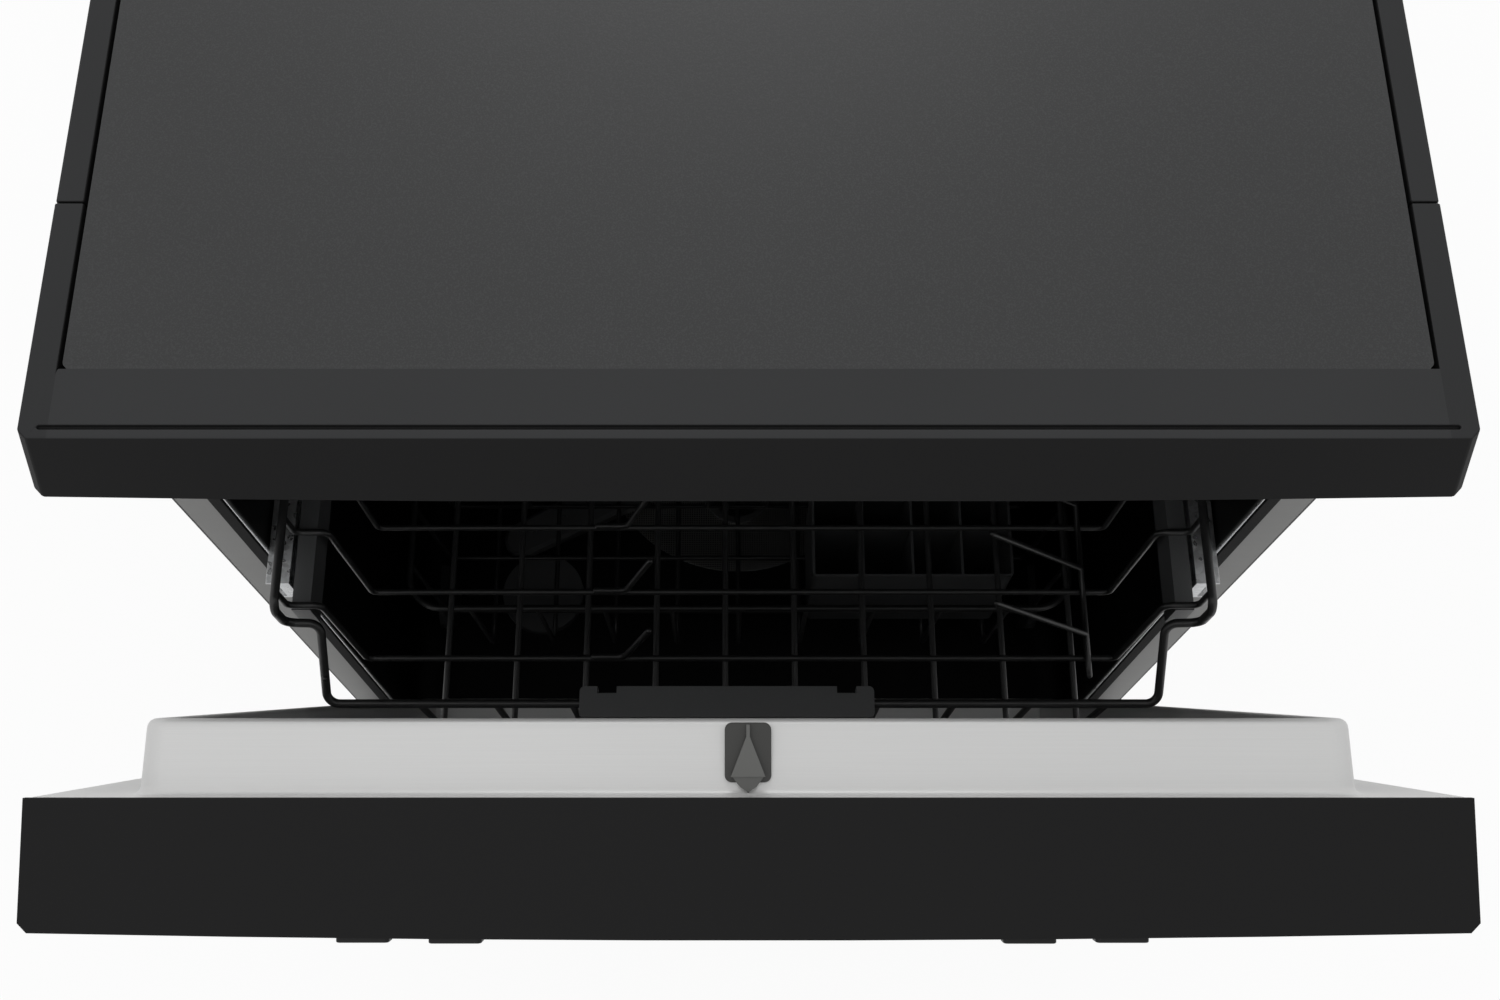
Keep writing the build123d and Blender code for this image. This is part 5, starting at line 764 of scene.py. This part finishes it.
def scatter_tree():
    """Sets one shape on every point of a mesh, turned to the point's own facing."""
    sockets = {
        "Places": "NodeSocketGeometry",
        "Shape": "NodeSocketObject",
        "Turn": "NodeSocketFloat",
        "Seed": "NodeSocketInt",
        "Finish": "NodeSocketMaterial",
    }
    tree, maker, given = interface("scattered_shapes", sockets)
    shape = maker.node("GeometryNodeObjectInfo", {}, {"Object": given["Shape"]}, "Geometry")
    facing = maker.node("GeometryNodeInputNamedAttribute", {"data_type": "FLOAT_VECTOR"}, {"Name": "facing"})
    aligned = maker.node("FunctionNodeAlignRotationToVector", {"axis": "Z"}, {"Vector": facing})
    limits = {2: 0.0, 3: given["Turn"], "Seed": given["Seed"]}
    turn = maker.node("FunctionNodeRandomValue", {"data_type": "FLOAT"}, limits, 1)
    own = maker.node("ShaderNodeCombineXYZ", {}, {"Z": turn})
    turned = {"Rotation": aligned, "Rotate By": own}
    spun = maker.node("FunctionNodeRotateRotation", {"rotation_space": "LOCAL"}, turned)
    inputs = {"Points": given["Places"], "Instance": shape, "Rotation": spun}
    close_tree(maker, maker.node("GeometryNodeInstanceOnPoints", {}, inputs), given["Finish"])
    return tree


def sweep_tree():
    """Sweeps a round section along the edges of a mesh."""
    sockets = {
        "Path": "NodeSocketGeometry",
        "Radius": "NodeSocketFloat",
        "Sides": "NodeSocketInt",
        "Finish": "NodeSocketMaterial",
    }
    tree, maker, given = interface("swept_section", sockets)
    path = maker.node("GeometryNodeMeshToCurve", {}, {0: given["Path"]})
    circle = {"Resolution": given["Sides"], "Radius": given["Radius"]}
    section = maker.node("GeometryNodeCurvePrimitiveCircle", {"mode": "RADIUS"}, circle)
    inputs = {"Curve": path, "Profile Curve": section, "Fill Caps": True}
    close_tree(maker, maker.node("GeometryNodeCurveToMesh", {}, inputs), given["Finish"])
    return tree


GROWN = {}


def grown(piece, tree_of, values):
    """Runs a geometry tree on a piece with its inputs and keeps the result as a plain mesh."""
    name = tree_of.__name__
    tree = bpy.data.node_groups.get(GROWN.get(name, "")) or tree_of()
    GROWN[name] = tree.name
    modifier = piece.modifiers.new("grown", "NODES")
    modifier.node_group = tree
    named = {item.name: item.identifier for item in tree.interface.items_tree if item.in_out == "INPUT"}
    for label, value in values.items():
        modifier[named[label]] = value
    applied(piece)
    shape = bmesh.new()
    shape.from_mesh(piece.data)
    bmesh.ops.remove_doubles(shape, verts=shape.verts, dist=FINE_WELD)
    bmesh.ops.recalc_face_normals(shape, faces=shape.faces)
    shape.to_mesh(piece.data)
    shape.free()
    return smoothed(piece)


def scattered(name, spots, shape, slot, turn=0.0, seed=0):
    """One shape on many spots, each a place and a facing, as a single mesh."""
    mesh = bpy.data.meshes.new(name)
    mesh.from_pydata([tuple(place) for place, _ in spots], [], [])
    facing = mesh.attributes.new("facing", "FLOAT_VECTOR", "POINT")
    facing.data.foreach_set("vector", [value for _, direction in spots for value in direction])
    model = from_bmesh(name + "_model", shape)
    piece = linked(name, mesh)
    values = {"Shape": model, "Turn": turn, "Seed": seed, "Finish": finish_of(slot)}
    grown(piece, scatter_tree, values)
    bpy.data.objects.remove(model)
    return piece


SWEPT_SIDES = 10


def swept(name, points, radius, slot):
    """Round bar along an open path of points."""
    mesh = bpy.data.meshes.new(name)
    edges = [(step, step + 1) for step in range(len(points) - 1)]
    mesh.from_pydata([tuple(point) for point in points], edges, [])
    piece = linked(name, mesh)
    return grown(piece, sweep_tree, {"Radius": radius, "Sides": SWEPT_SIDES, "Finish": finish_of(slot)})


SMALLEST_CORNER = 0.3 * MM


def rounded_outline(half, low, high, corner, steps):
    """Points of a rounded rectangle about the middle, round from its lower right corner."""
    points = []
    corner = max(corner, SMALLEST_CORNER)
    for side, height, start in (
        (half - corner, low + corner, -pi / 2),
        (half - corner, high - corner, 0),
        (corner - half, high - corner, pi / 2),
        (corner - half, low + corner, pi),
    ):
        for step in range(steps + 1):
            angle = start + pi / 2 * step / steps
            points.append((side + corner * cos(angle), height + corner * sin(angle)))
    return points


def eased(points, steps=5):
    """Profile of points with a radius each, its corners drawn as smooth curves."""
    smooth = [points[0][:2]]
    for before, (across, depth, radius), after in zip(points, points[1:], points[2:]):
        corner = Vector((across, depth))
        into = (Vector(before[:2]) - corner).normalized() * radius
        out = (Vector(after[:2]) - corner).normalized() * radius
        for step in range(steps + 1):
            share = step / steps
            place = corner + into * (1 - share) ** 2 + out * share**2
            smooth.append((place.x, place.y))
    smooth.append(points[-1][:2])
    return smooth


# Worktop
WORKTOP_EDGES = {"worktop_panel": SOFT, "worktop_front_trim": ROUND, "worktop_edge_trims": SOFT}
SEAM_WIDTH = 0.3 * MM


class DISHWASHER_OT_worktop(bpy.types.Operator):
    """Laminate panel with its raked front trim and its side and rear trims"""

    bl_idname = "dishwasher.worktop"
    bl_label = "Worktop"

    def execute(self, context):
        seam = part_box("worktop_panel")[0].y
        for node, edge in WORKTOP_EDGES.items():
            piece = dressed(node, edge, lambda place: abs(place.y - seam) > 2 * SEAM_WIDTH)
            if node == "worktop_panel":
                for vert in piece.data.vertices:
                    if vert.co.y < seam + 2 * SEAM_WIDTH:
                        vert.co.y = seam
        return {"FINISHED"}


# Cabinet
CABINET_EDGES = {
    "left_side_panel": SOFT,
    "right_side_panel": SOFT,
    "back_panel": CRISP,
    "base_frame": CRISP,
    "kick_plate": SOFT,
    "levelling_feet": CRISP,
    "power_gland": SHARP,
    "inlet_valve": SHARP,
    "water_intake_box": SOFT,
}
SCREW_HEIGHT = 0.6 * MM
SCREW_STEPS = 20
SCREW_CHAMFER = 0.25
SCREW_SIDE = 0.6
SCREW_RIM = 0.9
SCREW_DOME = 0.55
CROSS_SHARE = 0.52
CROSS_BLADE = 0.17


def screw_head(radius, height, recess):
    """Domed head with a cross recess, standing on Z zero."""
    rim = height * (1 - SCREW_CHAMFER)
    profile = [(0, -height), (radius, -height), (radius, rim * SCREW_SIDE), (radius * SCREW_RIM, rim)]
    profile += [(radius * SCREW_DOME, height), (0, height)]
    head = from_bmesh("screw_head", lathe(profile, SCREW_STEPS))
    cutter = bmesh.new()
    for turn in (0, pi / 2):
        blade = Matrix.Diagonal((2 * radius * CROSS_SHARE, 2 * radius * CROSS_BLADE, 2 * recess, 1))
        place = Matrix.Translation((0, 0, height)) @ Matrix.Rotation(turn, 4, "Z") @ blade
        bmesh.ops.create_cube(cutter, size=1, matrix=place)
    cross = from_bmesh("screw_cross", cutter)
    modified(head, "BOOLEAN", operation="DIFFERENCE", object=cross, solver="EXACT", use_self=True)
    shape = bmesh.new()
    shape.from_mesh(head.data)
    bpy.data.objects.remove(head)
    bpy.data.objects.remove(cross)
    return shape


class DISHWASHER_OT_cabinet(bpy.types.Operator):
    """Side, back and kick panels, base and feet"""

    bl_idname = "dishwasher.cabinet"
    bl_label = "Cabinet"

    def execute(self, context):
        dress_all(CABINET_EDGES)
        return {"FINISHED"}


class DISHWASHER_OT_screws(bpy.types.Operator):
    """Cross-recessed screws of the back panel"""

    bl_idname = "dishwasher.screws"
    bl_label = "Back screws"

    def execute(self, context):
        sizes = chosen("cabinet")
        boxes = islands("cabinet_screws")
        low, high = boxes[0]
        radius = (high.x - low.x) / 2
        spots = []
        for low, high in boxes:
            middle = (low + high) / 2
            spots.append((Vector((middle.x, high.y - SCREW_HEIGHT, middle.z)), Vector((0, 1, 0))))
        head = screw_head(radius, SCREW_HEIGHT, sizes.recess)
        piece = scattered("back_screws", spots, head, "zinc_steel", 2 * pi, sizes.seed)
        settled(piece, "cabinet", "zinc_steel", "cabinet_screws")
        return {"FINISHED"}


# Tub
TUB_EDGES = {
    "tub": 0.0,
    "tub_gasket": CRISP,
    "tub_insulation": SHARP,
    "filter_plate": SHARP,
    "filter_cylinder": SHARP,
    "salt_cap": SHARP,
    "leak_float": SHARP,
    "lower_spray_arm": CRISP,
    "slide_rails": SHARP,
    "door_catch": SHARP,
    "feed_pipe": 0.0,
    "tub_front_rollers": SHARP,
    "tub_rear_rollers": SHARP,
}
GASKET_WIDTH = 7 * MM
TUB_CORNER = 21 * MM
BEAD_STEPS = 8


class DISHWASHER_OT_tub(bpy.types.Operator):
    """Tub, its gasket, rails, lower arm and filter, with the rolled edge of the opening"""

    bl_idname = "dishwasher.tub"
    bl_label = "Tub"

    def execute(self, context):
        dress_all(TUB_EDGES)
        bead = chosen("cabinet").bead
        low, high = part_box("tub_gasket")
        width = GASKET_WIDTH + bead
        outline = rounded_outline(high.x - width, low.z, high.z - width, TUB_CORNER, BEAD_STEPS)
        start = BEAD_STEPS + 1
        depth = low.y + 2 * bead
        points = [Vector((across, depth, height)) for across, height in outline[start : 3 * start]]
        points = [Vector((points[0].x, depth, low.z)), *points, Vector((points[-1].x, depth, low.z))]
        piece = swept("tub_edge_bead", points, bead, "zinc_steel")
        settled(piece, "cabinet", "zinc_steel")
        return {"FINISHED"}


# Base machinery, which shows only from below and through the back
MACHINERY_EDGES = {
    "sump": CRISP,
    "circulation_pump": CRISP,
    "pump_impeller": 0.0,
    "drain_pump": SHARP,
    "softener_tank": CRISP,
    "hinge_brackets": SHARP,
    "door_springs": 0.0,
}


class DISHWASHER_OT_machinery(bpy.types.Operator):
    """Sump, pumps, softener, hinge brackets and door springs"""

    bl_idname = "dishwasher.machinery"
    bl_label = "Machinery"

    def execute(self, context):
        dress_all(MACHINERY_EDGES)
        return {"FINISHED"}


# Door
DOOR_EDGES = {
    "door_outer_panel": SOFT,
    "door_fascia": 1.4 * MM,
    "hinge_arms": SHARP,
    "door_bottom_seal": SHARP,
    "control_board": 0.0,
    "dispenser_body": CRISP,
    "dispenser_lid": CRISP,
    "rinse_aid_cap": SHARP,
    "power_button": CRISP,
    "program_button": CRISP,
    "delay_button": CRISP,
    "start_button": CRISP,
}
FOOT_RADIUS = 4.0 * MM
CREST_RADIUS = 4.5 * MM
LAND_RADIUS = 3.6 * MM
FIELD_RADIUS = 9.0 * MM
RECESS_DRAFT = 4.0 * MM
SHEET_CORNER = 1.5 * MM
LINER_SMOOTH = radians(50)
FIELD_CORNER_SHARE = 0.25


class DISHWASHER_OT_door(bpy.types.Operator):
    """Outer door, fascia, keys, hinge arms and dispenser"""

    bl_idname = "dishwasher.door"
    bl_label = "Door"

    def execute(self, context):
        dress_all(DOOR_EDGES)
        return {"FINISHED"}


class DISHWASHER_OT_liner(bpy.types.Operator):
    """Pressed inner door: flange, raised rim with a rounded crest and the sunk field"""

    bl_idname = "dishwasher.liner"
    bl_label = "Inner door"

    def execute(self, context):
        size = chosen("liner")
        inner = size.land + RECESS_DRAFT
        profile = eased(
            [
                (-3 * FOOT_RADIUS, -size.ahead, 0),
                (0, -size.ahead, FOOT_RADIUS),
                (size.draft, size.crest, CREST_RADIUS),
                (size.land, size.crest, LAND_RADIUS),
                (inner, -size.recess, FIELD_RADIUS),
                (inner + 3 * FIELD_RADIUS, -size.recess, 0),
            ]
        )
        shape = bmesh.new()
        rings = []
        edge = rounded_outline(size.half, size.low, size.high, SHEET_CORNER, size.steps)
        for behind in (-size.ahead - 2 * size.sheet, -size.ahead):
            rings.append([shape.verts.new(on_door(x, behind, up)) for x, up in edge])
        for inset, behind in profile:
            outline = rounded_outline(
                size.rim_half - inset,
                size.rim_low + inset,
                size.rim_top - inset,
                max(size.corner - inset, size.corner * FIELD_CORNER_SHARE),
                size.steps,
            )
            rings.append([shape.verts.new(on_door(x, behind, up)) for x, up in outline])
        bridged(shape, rings)
        field = shape.faces.new(rings[-1])
        shape.normal_update()
        if field.normal.dot(DOOR_BEHIND) < 0:
            bmesh.ops.reverse_faces(shape, faces=shape.faces)
        piece = from_bmesh("pressed_inner_door", shape)
        modified(piece, "SOLIDIFY", thickness=size.sheet, offset=-1, use_even_offset=True)
        smoothed(piece, LINER_SMOOTH)
        settled(piece, "door", "liner_steel", "door_inner_panel")
        return {"FINISHED"}


# Latch insert and clips, by their places on the door
INSERT_BEHIND = (2.5 * MM, 27.4 * MM)
INSERT_ROOT = 2.5 * MM
INSERT_BEVEL = 0.4 * MM
INSERT_CORNER = 3.0 * MM
INSERT_STEPS = 5
INSERT_SMOOTH = radians(18)
WEDGE_TALL = 2.6 * MM
WEDGE_SINK = 0.1 * MM
WEDGE_SIDE = ((0.75 * MM, 26.6 * MM), (0.75 * MM, 21.6 * MM), (7.3 * MM, 4.9 * MM))
WEDGE_ROUND = 0.3 * MM
WEDGE_BEND = radians(20)
NOSE_SIDE = (
    (6.6 * MM, 4.9 * MM, 1.7 * MM),
    (3.4 * MM, 0.6 * MM, 0.9 * MM),
    (0.8 * MM, -1.0 * MM, 0.5 * MM),
)
NOSE_POINT = (0.0, -1.9 * MM, 0.2 * MM)
NOSE_FACES = ((0, 1, 5, 6), (1, 2, 4, 5), (2, 3, 4))
CLIP_PLACES = (-27.2 * MM, 23.9 * MM)
CLIP_HALF = 2.9 * MM
CLIP_SINK = 0.7 * MM
CLIP_PROUD = 0.2 * MM
CLIP_TAPER = 0.4 * MM
CLIP_DROPS = (2.6 * MM, 0.2 * MM)
CLIP_ROUND = 0.25 * MM


class DISHWASHER_OT_latch(bpy.types.Operator):
    """Latch insert: its plate, and the wedge with its sloping nose"""

    bl_idname = "dishwasher.latch"
    bl_label = "Latch insert"

    def execute(self, context):
        top = chosen("liner").rim_top
        shape = bmesh.new()
        rings = []
        for inset, up in ((0, -INSERT_ROOT), (0, INSERT_PROUD - INSERT_BEVEL), (INSERT_BEVEL, INSERT_PROUD)):
            outline = rounded_outline(
                INSERT_HALF - inset,
                INSERT_BEHIND[0] + inset,
                INSERT_BEHIND[1] - inset,
                INSERT_CORNER - inset,
                INSERT_STEPS,
            )
            rings.append([shape.verts.new(on_door(x, behind, top + up)) for x, behind in outline])
        capped(shape, rings)
        foot = top + INSERT_PROUD - WEDGE_SINK
        crown = mirrored(WEDGE_SIDE)
        low = [shape.verts.new(on_door(x, behind, foot)) for x, behind in crown]
        high = [shape.verts.new(on_door(x, behind, foot + WEDGE_TALL)) for x, behind in crown]
        capped(shape, [low, high])
        nose = mirrored(NOSE_SIDE, (NOSE_POINT,))
        low = [shape.verts.new(on_door(x, behind, foot)) for x, behind, _ in nose]
        high = [shape.verts.new(on_door(x, behind, foot + up)) for x, behind, up in nose]
        bridged(shape, [low, high])
        shape.faces.new(low)
        for corners in NOSE_FACES:
            shape.faces.new([high[corner] for corner in corners])
        bmesh.ops.recalc_face_normals(shape, faces=shape.faces)
        piece = from_bmesh("latch_insert_plate", shape)
        modified(
            piece, "BEVEL", width=WEDGE_ROUND, segments=2, limit_method="ANGLE", angle_limit=WEDGE_BEND
        )
        settled(smoothed(piece, INSERT_SMOOTH), "door", "button_plastic", "latch_insert")
        return {"FINISHED"}


class DISHWASHER_OT_clips(bpy.types.Operator):
    """Two pale clips at the upper edge of the inner door"""

    bl_idname = "dishwasher.clips"
    bl_label = "Inner door clips"

    def execute(self, context):
        size = chosen("liner")
        back = -size.ahead - CLIP_SINK
        face = CLIP_PROUD - size.ahead
        shape = bmesh.new()
        for place in CLIP_PLACES:
            low, high = place - CLIP_HALF, place + CLIP_HALF
            section = ((low, back), (high, back), (high - CLIP_TAPER, face), (low + CLIP_TAPER, face))
            rings = [
                [shape.verts.new(on_door(x, behind, size.high - drop)) for x, behind in section]
                for drop in CLIP_DROPS
            ]
            capped(shape, rings)
        bmesh.ops.recalc_face_normals(shape, faces=shape.faces)
        piece = from_bmesh("liner_clips", shape)
        modified(piece, "BEVEL", width=CLIP_ROUND, segments=2)
        settled(smoothed(piece), "door", "light_plastic")
        return {"FINISHED"}


# Racks
RACK_EDGES = {
    "upper_rack_basket": 0.0,
    "upper_rack_tines": 0.0,
    "upper_rack_handle": SOFT,
    "rack_carriers": CRISP,
    "rack_supply_pipe": SHARP,
    "upper_spray_arm": CRISP,
    "rack_front_rollers": SHARP,
    "rack_rear_rollers": SHARP,
    "lower_rack_basket": 0.0,
    "lower_rack_tines": 0.0,
    "cutlery_basket": SHARP,
    "lower_front_wheels": CRISP,
    "lower_rear_wheels": CRISP,
}
WIRE_NODES = ("upper_rack_basket", "upper_rack_tines", "lower_rack_basket", "lower_rack_tines")
WHEEL_NODES = ("lower_front_wheels", "lower_rear_wheels")
TREAD_PROUD = 0.2 * MM
TREAD_WIDTH = 1.6 * MM
RIB_WIDTH = 2.4 * MM
RIB_PROUD = 0.5 * MM
RIB_MARGIN = 32 * MM
RIB_SHARE = 0.7
BAR_STEPS = 3
END_SIDES = 8
END_TOLERANCE = 0.15
TIP_STEPS = 5
TIP_SIDES = 14


def wire_ends(node, radius):
    """Middle and facing of each flat end of a node's wires."""
    shape = merged(node)
    area = pi * radius**2
    ends = [
        (face.calc_center_median().copy(), face.normal.copy())
        for face in shape.faces
        if len(face.verts) >= END_SIDES and abs(face.calc_area() / area - 1) < END_TOLERANCE
    ]
    shape.free()
    return ends


def wire_tip(radius):
    """Round tip of a coated wire, standing on Z zero."""
    angles = [pi / 2 * step / TIP_STEPS for step in range(TIP_STEPS)]
    curve = [(radius * cos(angle), radius * sin(angle)) for angle in angles]
    return lathe([(0, -radius / 2), (radius, -radius / 2), *curve, (0, radius)], TIP_SIDES)


def grip_bar(wide, long, proud):
    """Raised bar with rounded ends and a softened top, its foot under Z zero."""
    shape = bmesh.new()
    rings = []
    for inset, height in ((0, -proud), (0, proud / 2), (proud / 2, proud)):
        half, end = wide / 2 - inset, long / 2 - inset
        outline = rounded_outline(half, -end, end, half, BAR_STEPS)
        rings.append([shape.verts.new((x, y, height)) for x, y in outline])
    capped(shape, rings)
    bmesh.ops.remove_doubles(shape, verts=shape.verts, dist=WELD)
    bmesh.ops.recalc_face_normals(shape, faces=shape.faces)
    return shape


class DISHWASHER_OT_racks(bpy.types.Operator):
    """Upper and lower racks with carriers, arms and wheels"""

    bl_idname = "dishwasher.racks"
    bl_label = "Racks"

    def execute(self, context):
        dress_all(RACK_EDGES)
        return {"FINISHED"}


class DISHWASHER_OT_wire_tips(bpy.types.Operator):
    """Rounded tips on the free ends of the racks' wires and tines"""

    bl_idname = "dishwasher.wire_tips"
    bl_label = "Wire tips"

    def execute(self, context):
        radius = chosen("racks").tip
        for node in WIRE_NODES:
            ends = wire_ends(node, radius)
            if not ends:
                raise RuntimeError("no wire ends on " + node)
            piece = scattered(node + "_tips", ends, wire_tip(radius), "rack_wire")
            settled(piece, body_of(node), "rack_wire")
        return {"FINISHED"}


class DISHWASHER_OT_grips(bpy.types.Operator):
    """Tread bars on the lower rack's wheels and grip ribs under the handle"""

    bl_idname = "dishwasher.grips"
    bl_label = "Treads and ribs"

    def execute(self, context):
        sizes = chosen("racks")
        for node in WHEEL_NODES:
            spots = []
            for low, high in islands(node):
                middle = (low + high) / 2
                radius = (high.z - low.z) / 2
                for step in range(sizes.tread):
                    angle = 2 * pi * (step + 0.5) / sizes.tread
                    facing = Vector((0, sin(angle), cos(angle)))
                    spots.append((middle + facing * (radius - TREAD_PROUD), facing))
            wide = high.x - low.x - 2 * TREAD_WIDTH
            bar = grip_bar(TREAD_WIDTH, wide, 2 * TREAD_PROUD)
            bar.transform(Matrix.Rotation(pi / 2, 4, "Z"))
            piece = scattered(node + "_treads", spots, bar, "wheel_plastic")
            settled(piece, body_of(node), "wheel_plastic")
        low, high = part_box("upper_rack_handle")
        reach = high.x - low.x - 2 * RIB_MARGIN
        spots = []
        for step in range(sizes.ribs):
            across = low.x + RIB_MARGIN + reach * step / (sizes.ribs - 1)
            spots.append((Vector((across, (low.y + high.y) / 2, low.z)), Vector((0, 0, -1))))
        rib = grip_bar(RIB_WIDTH, (high.y - low.y) * RIB_SHARE, RIB_PROUD)
        piece = scattered("handle_ribs", spots, rib, "grey_plastic")
        settled(piece, body_of("upper_rack_handle"), "grey_plastic")
        return {"FINISHED"}


# Stage
KEY_SIZE = 2.6
KEY_OFFSET = Vector((-0.9, -1.3, 2.2))
REAR_SIZE = 1.3
REAR_OFFSET = Vector((0.0, 2.36, 1.9))
CAMERA_CLIP = 0.05
FLOOR_TONES = ((0.86, 0.86, 0.86), (0.9, 0.9, 0.9))
FLOOR_GLOW = 0.94
BACKDROP_RAYS = ("Is Camera Ray", "Is Glossy Ray", "Is Transmission Ray")


def area_lamp(name, place, target, power, size):
    """Square soft lamp aimed at a point."""
    lamp = bpy.data.lights.new(name, "AREA")
    lamp.energy = power
    lamp.size = size
    made = linked(name, lamp)
    made.location = place
    made.rotation_euler = (Vector(target) - Vector(place)).to_track_quat("-Z", "Y").to_euler()


def plain_rays(maker):
    """One for rays that should see the white backdrop, zero for those that light the object."""
    rays = maker.node("ShaderNodeLightPath").socket.node
    camera, glossy, through = (Signal(maker, rays.outputs[name]) for name in BACKDROP_RAYS)
    return (camera + glossy + through).held()


class DISHWASHER_OT_stage(bpy.types.Operator):
    """Camera, plain surroundings, soft lamps and a pale floor that keeps the shadow"""

    bl_idname = "dishwasher.stage"
    bl_label = "Stage"

    def execute(self, context):
        stage = chosen("stage")
        scene = context.scene
        scene.view_settings.view_transform = "Standard"
        camera = linked("camera", bpy.data.cameras.new("camera"))
        camera.location = stage.camera
        camera.rotation_euler = (pi / 2 - stage.pitch, 0, 0)
        camera.data.lens = stage.lens
        camera.data.shift_x = stage.shift
        camera.data.clip_start = CAMERA_CLIP
        scene.camera = camera

        scene.world = bpy.data.worlds.new("surroundings")
        scene.world.use_nodes = True
        maker = Maker(scene.world.node_tree)
        strength = stage.world + (1.0 - stage.world) * plain_rays(maker)
        background = maker.node("ShaderNodeBackground", {}, {"Color": (1, 1, 1, 1), "Strength": strength})
        maker.node("ShaderNodeOutputWorld", {}, {"Surface": background}, output=None)

        middle = (WHOLE_LOW + WHOLE_HIGH) / 2
        area_lamp("key_lamp", middle + KEY_OFFSET, middle, stage.key, KEY_SIZE)
        area_lamp("rear_lamp", middle + REAR_OFFSET, middle, stage.rear, REAR_SIZE)

        reach = stage.floor
        mesh = bpy.data.meshes.new("floor")
        corners = [(-reach, -reach, 0), (reach, -reach, 0), (reach, reach, 0), (-reach, reach, 0)]
        mesh.from_pydata(corners, [], [(0, 1, 2, 3)])
        floor = linked("floor", mesh)
        finish = Finish("floor")
        paper = finish.between(finish.noise(3, 2), *FLOOR_TONES)
        diffuse = finish.node("ShaderNodeBsdfDiffuse", {}, {"Color": paper})
        glow = finish.node("ShaderNodeEmission", {}, {"Color": (1, 1, 1, 1), "Strength": 1.0})
        factor = FLOOR_GLOW * plain_rays(finish)
        mixed = finish.node("ShaderNodeMixShader", {}, {0: factor, 1: diffuse, 2: glow})
        finish.node("ShaderNodeOutputMaterial", {}, {"Surface": mixed}, output=None)
        floor.data.materials.append(finish.material)
        return {"FINISHED"}


OPERATORS = (
    DISHWASHER_OT_stage,
    DISHWASHER_OT_worktop,
    DISHWASHER_OT_cabinet,
    DISHWASHER_OT_screws,
    DISHWASHER_OT_tub,
    DISHWASHER_OT_machinery,
    DISHWASHER_OT_door,
    DISHWASHER_OT_liner,
    DISHWASHER_OT_latch,
    DISHWASHER_OT_clips,
    DISHWASHER_OT_racks,
    DISHWASHER_OT_wire_tips,
    DISHWASHER_OT_grips,
)


class DISHWASHER_PT_pieces(bpy.types.Panel):
    """Buttons that make the pieces, and the settings they use"""

    bl_label = "Dishwasher"
    bl_idname = "DISHWASHER_PT_pieces"
    bl_space_type = "VIEW_3D"
    bl_region_type = "UI"
    bl_category = "Dishwasher"

    def draw(self, context):
        for operator in OPERATORS:
            self.layout.operator(operator.bl_idname)
        for name, group in GROUPS.items():
            box = self.layout.box()
            for field in group.__annotations__:
                box.prop(getattr(context.scene, name), field)


def register():
    """Registers the settings, the operators and the panel."""
    for name, group in GROUPS.items():
        bpy.utils.register_class(group)
        setattr(bpy.types.Scene, name, PointerProperty(type=group))
    for made in (*OPERATORS, DISHWASHER_PT_pieces):
        bpy.utils.register_class(made)


def unregister():
    """Takes back what register added."""
    for made in (DISHWASHER_PT_pieces, *reversed(OPERATORS)):
        bpy.utils.unregister_class(made)
    for name, group in reversed(GROUPS.items()):
        delattr(bpy.types.Scene, name)
        bpy.utils.unregister_class(group)


def main():
    """Makes every piece in order."""
    register()
    for operator in OPERATORS:
        family, name = operator.bl_idname.split(".")
        getattr(getattr(bpy.ops, family), name)()


if __name__ == "__main__":
    main()
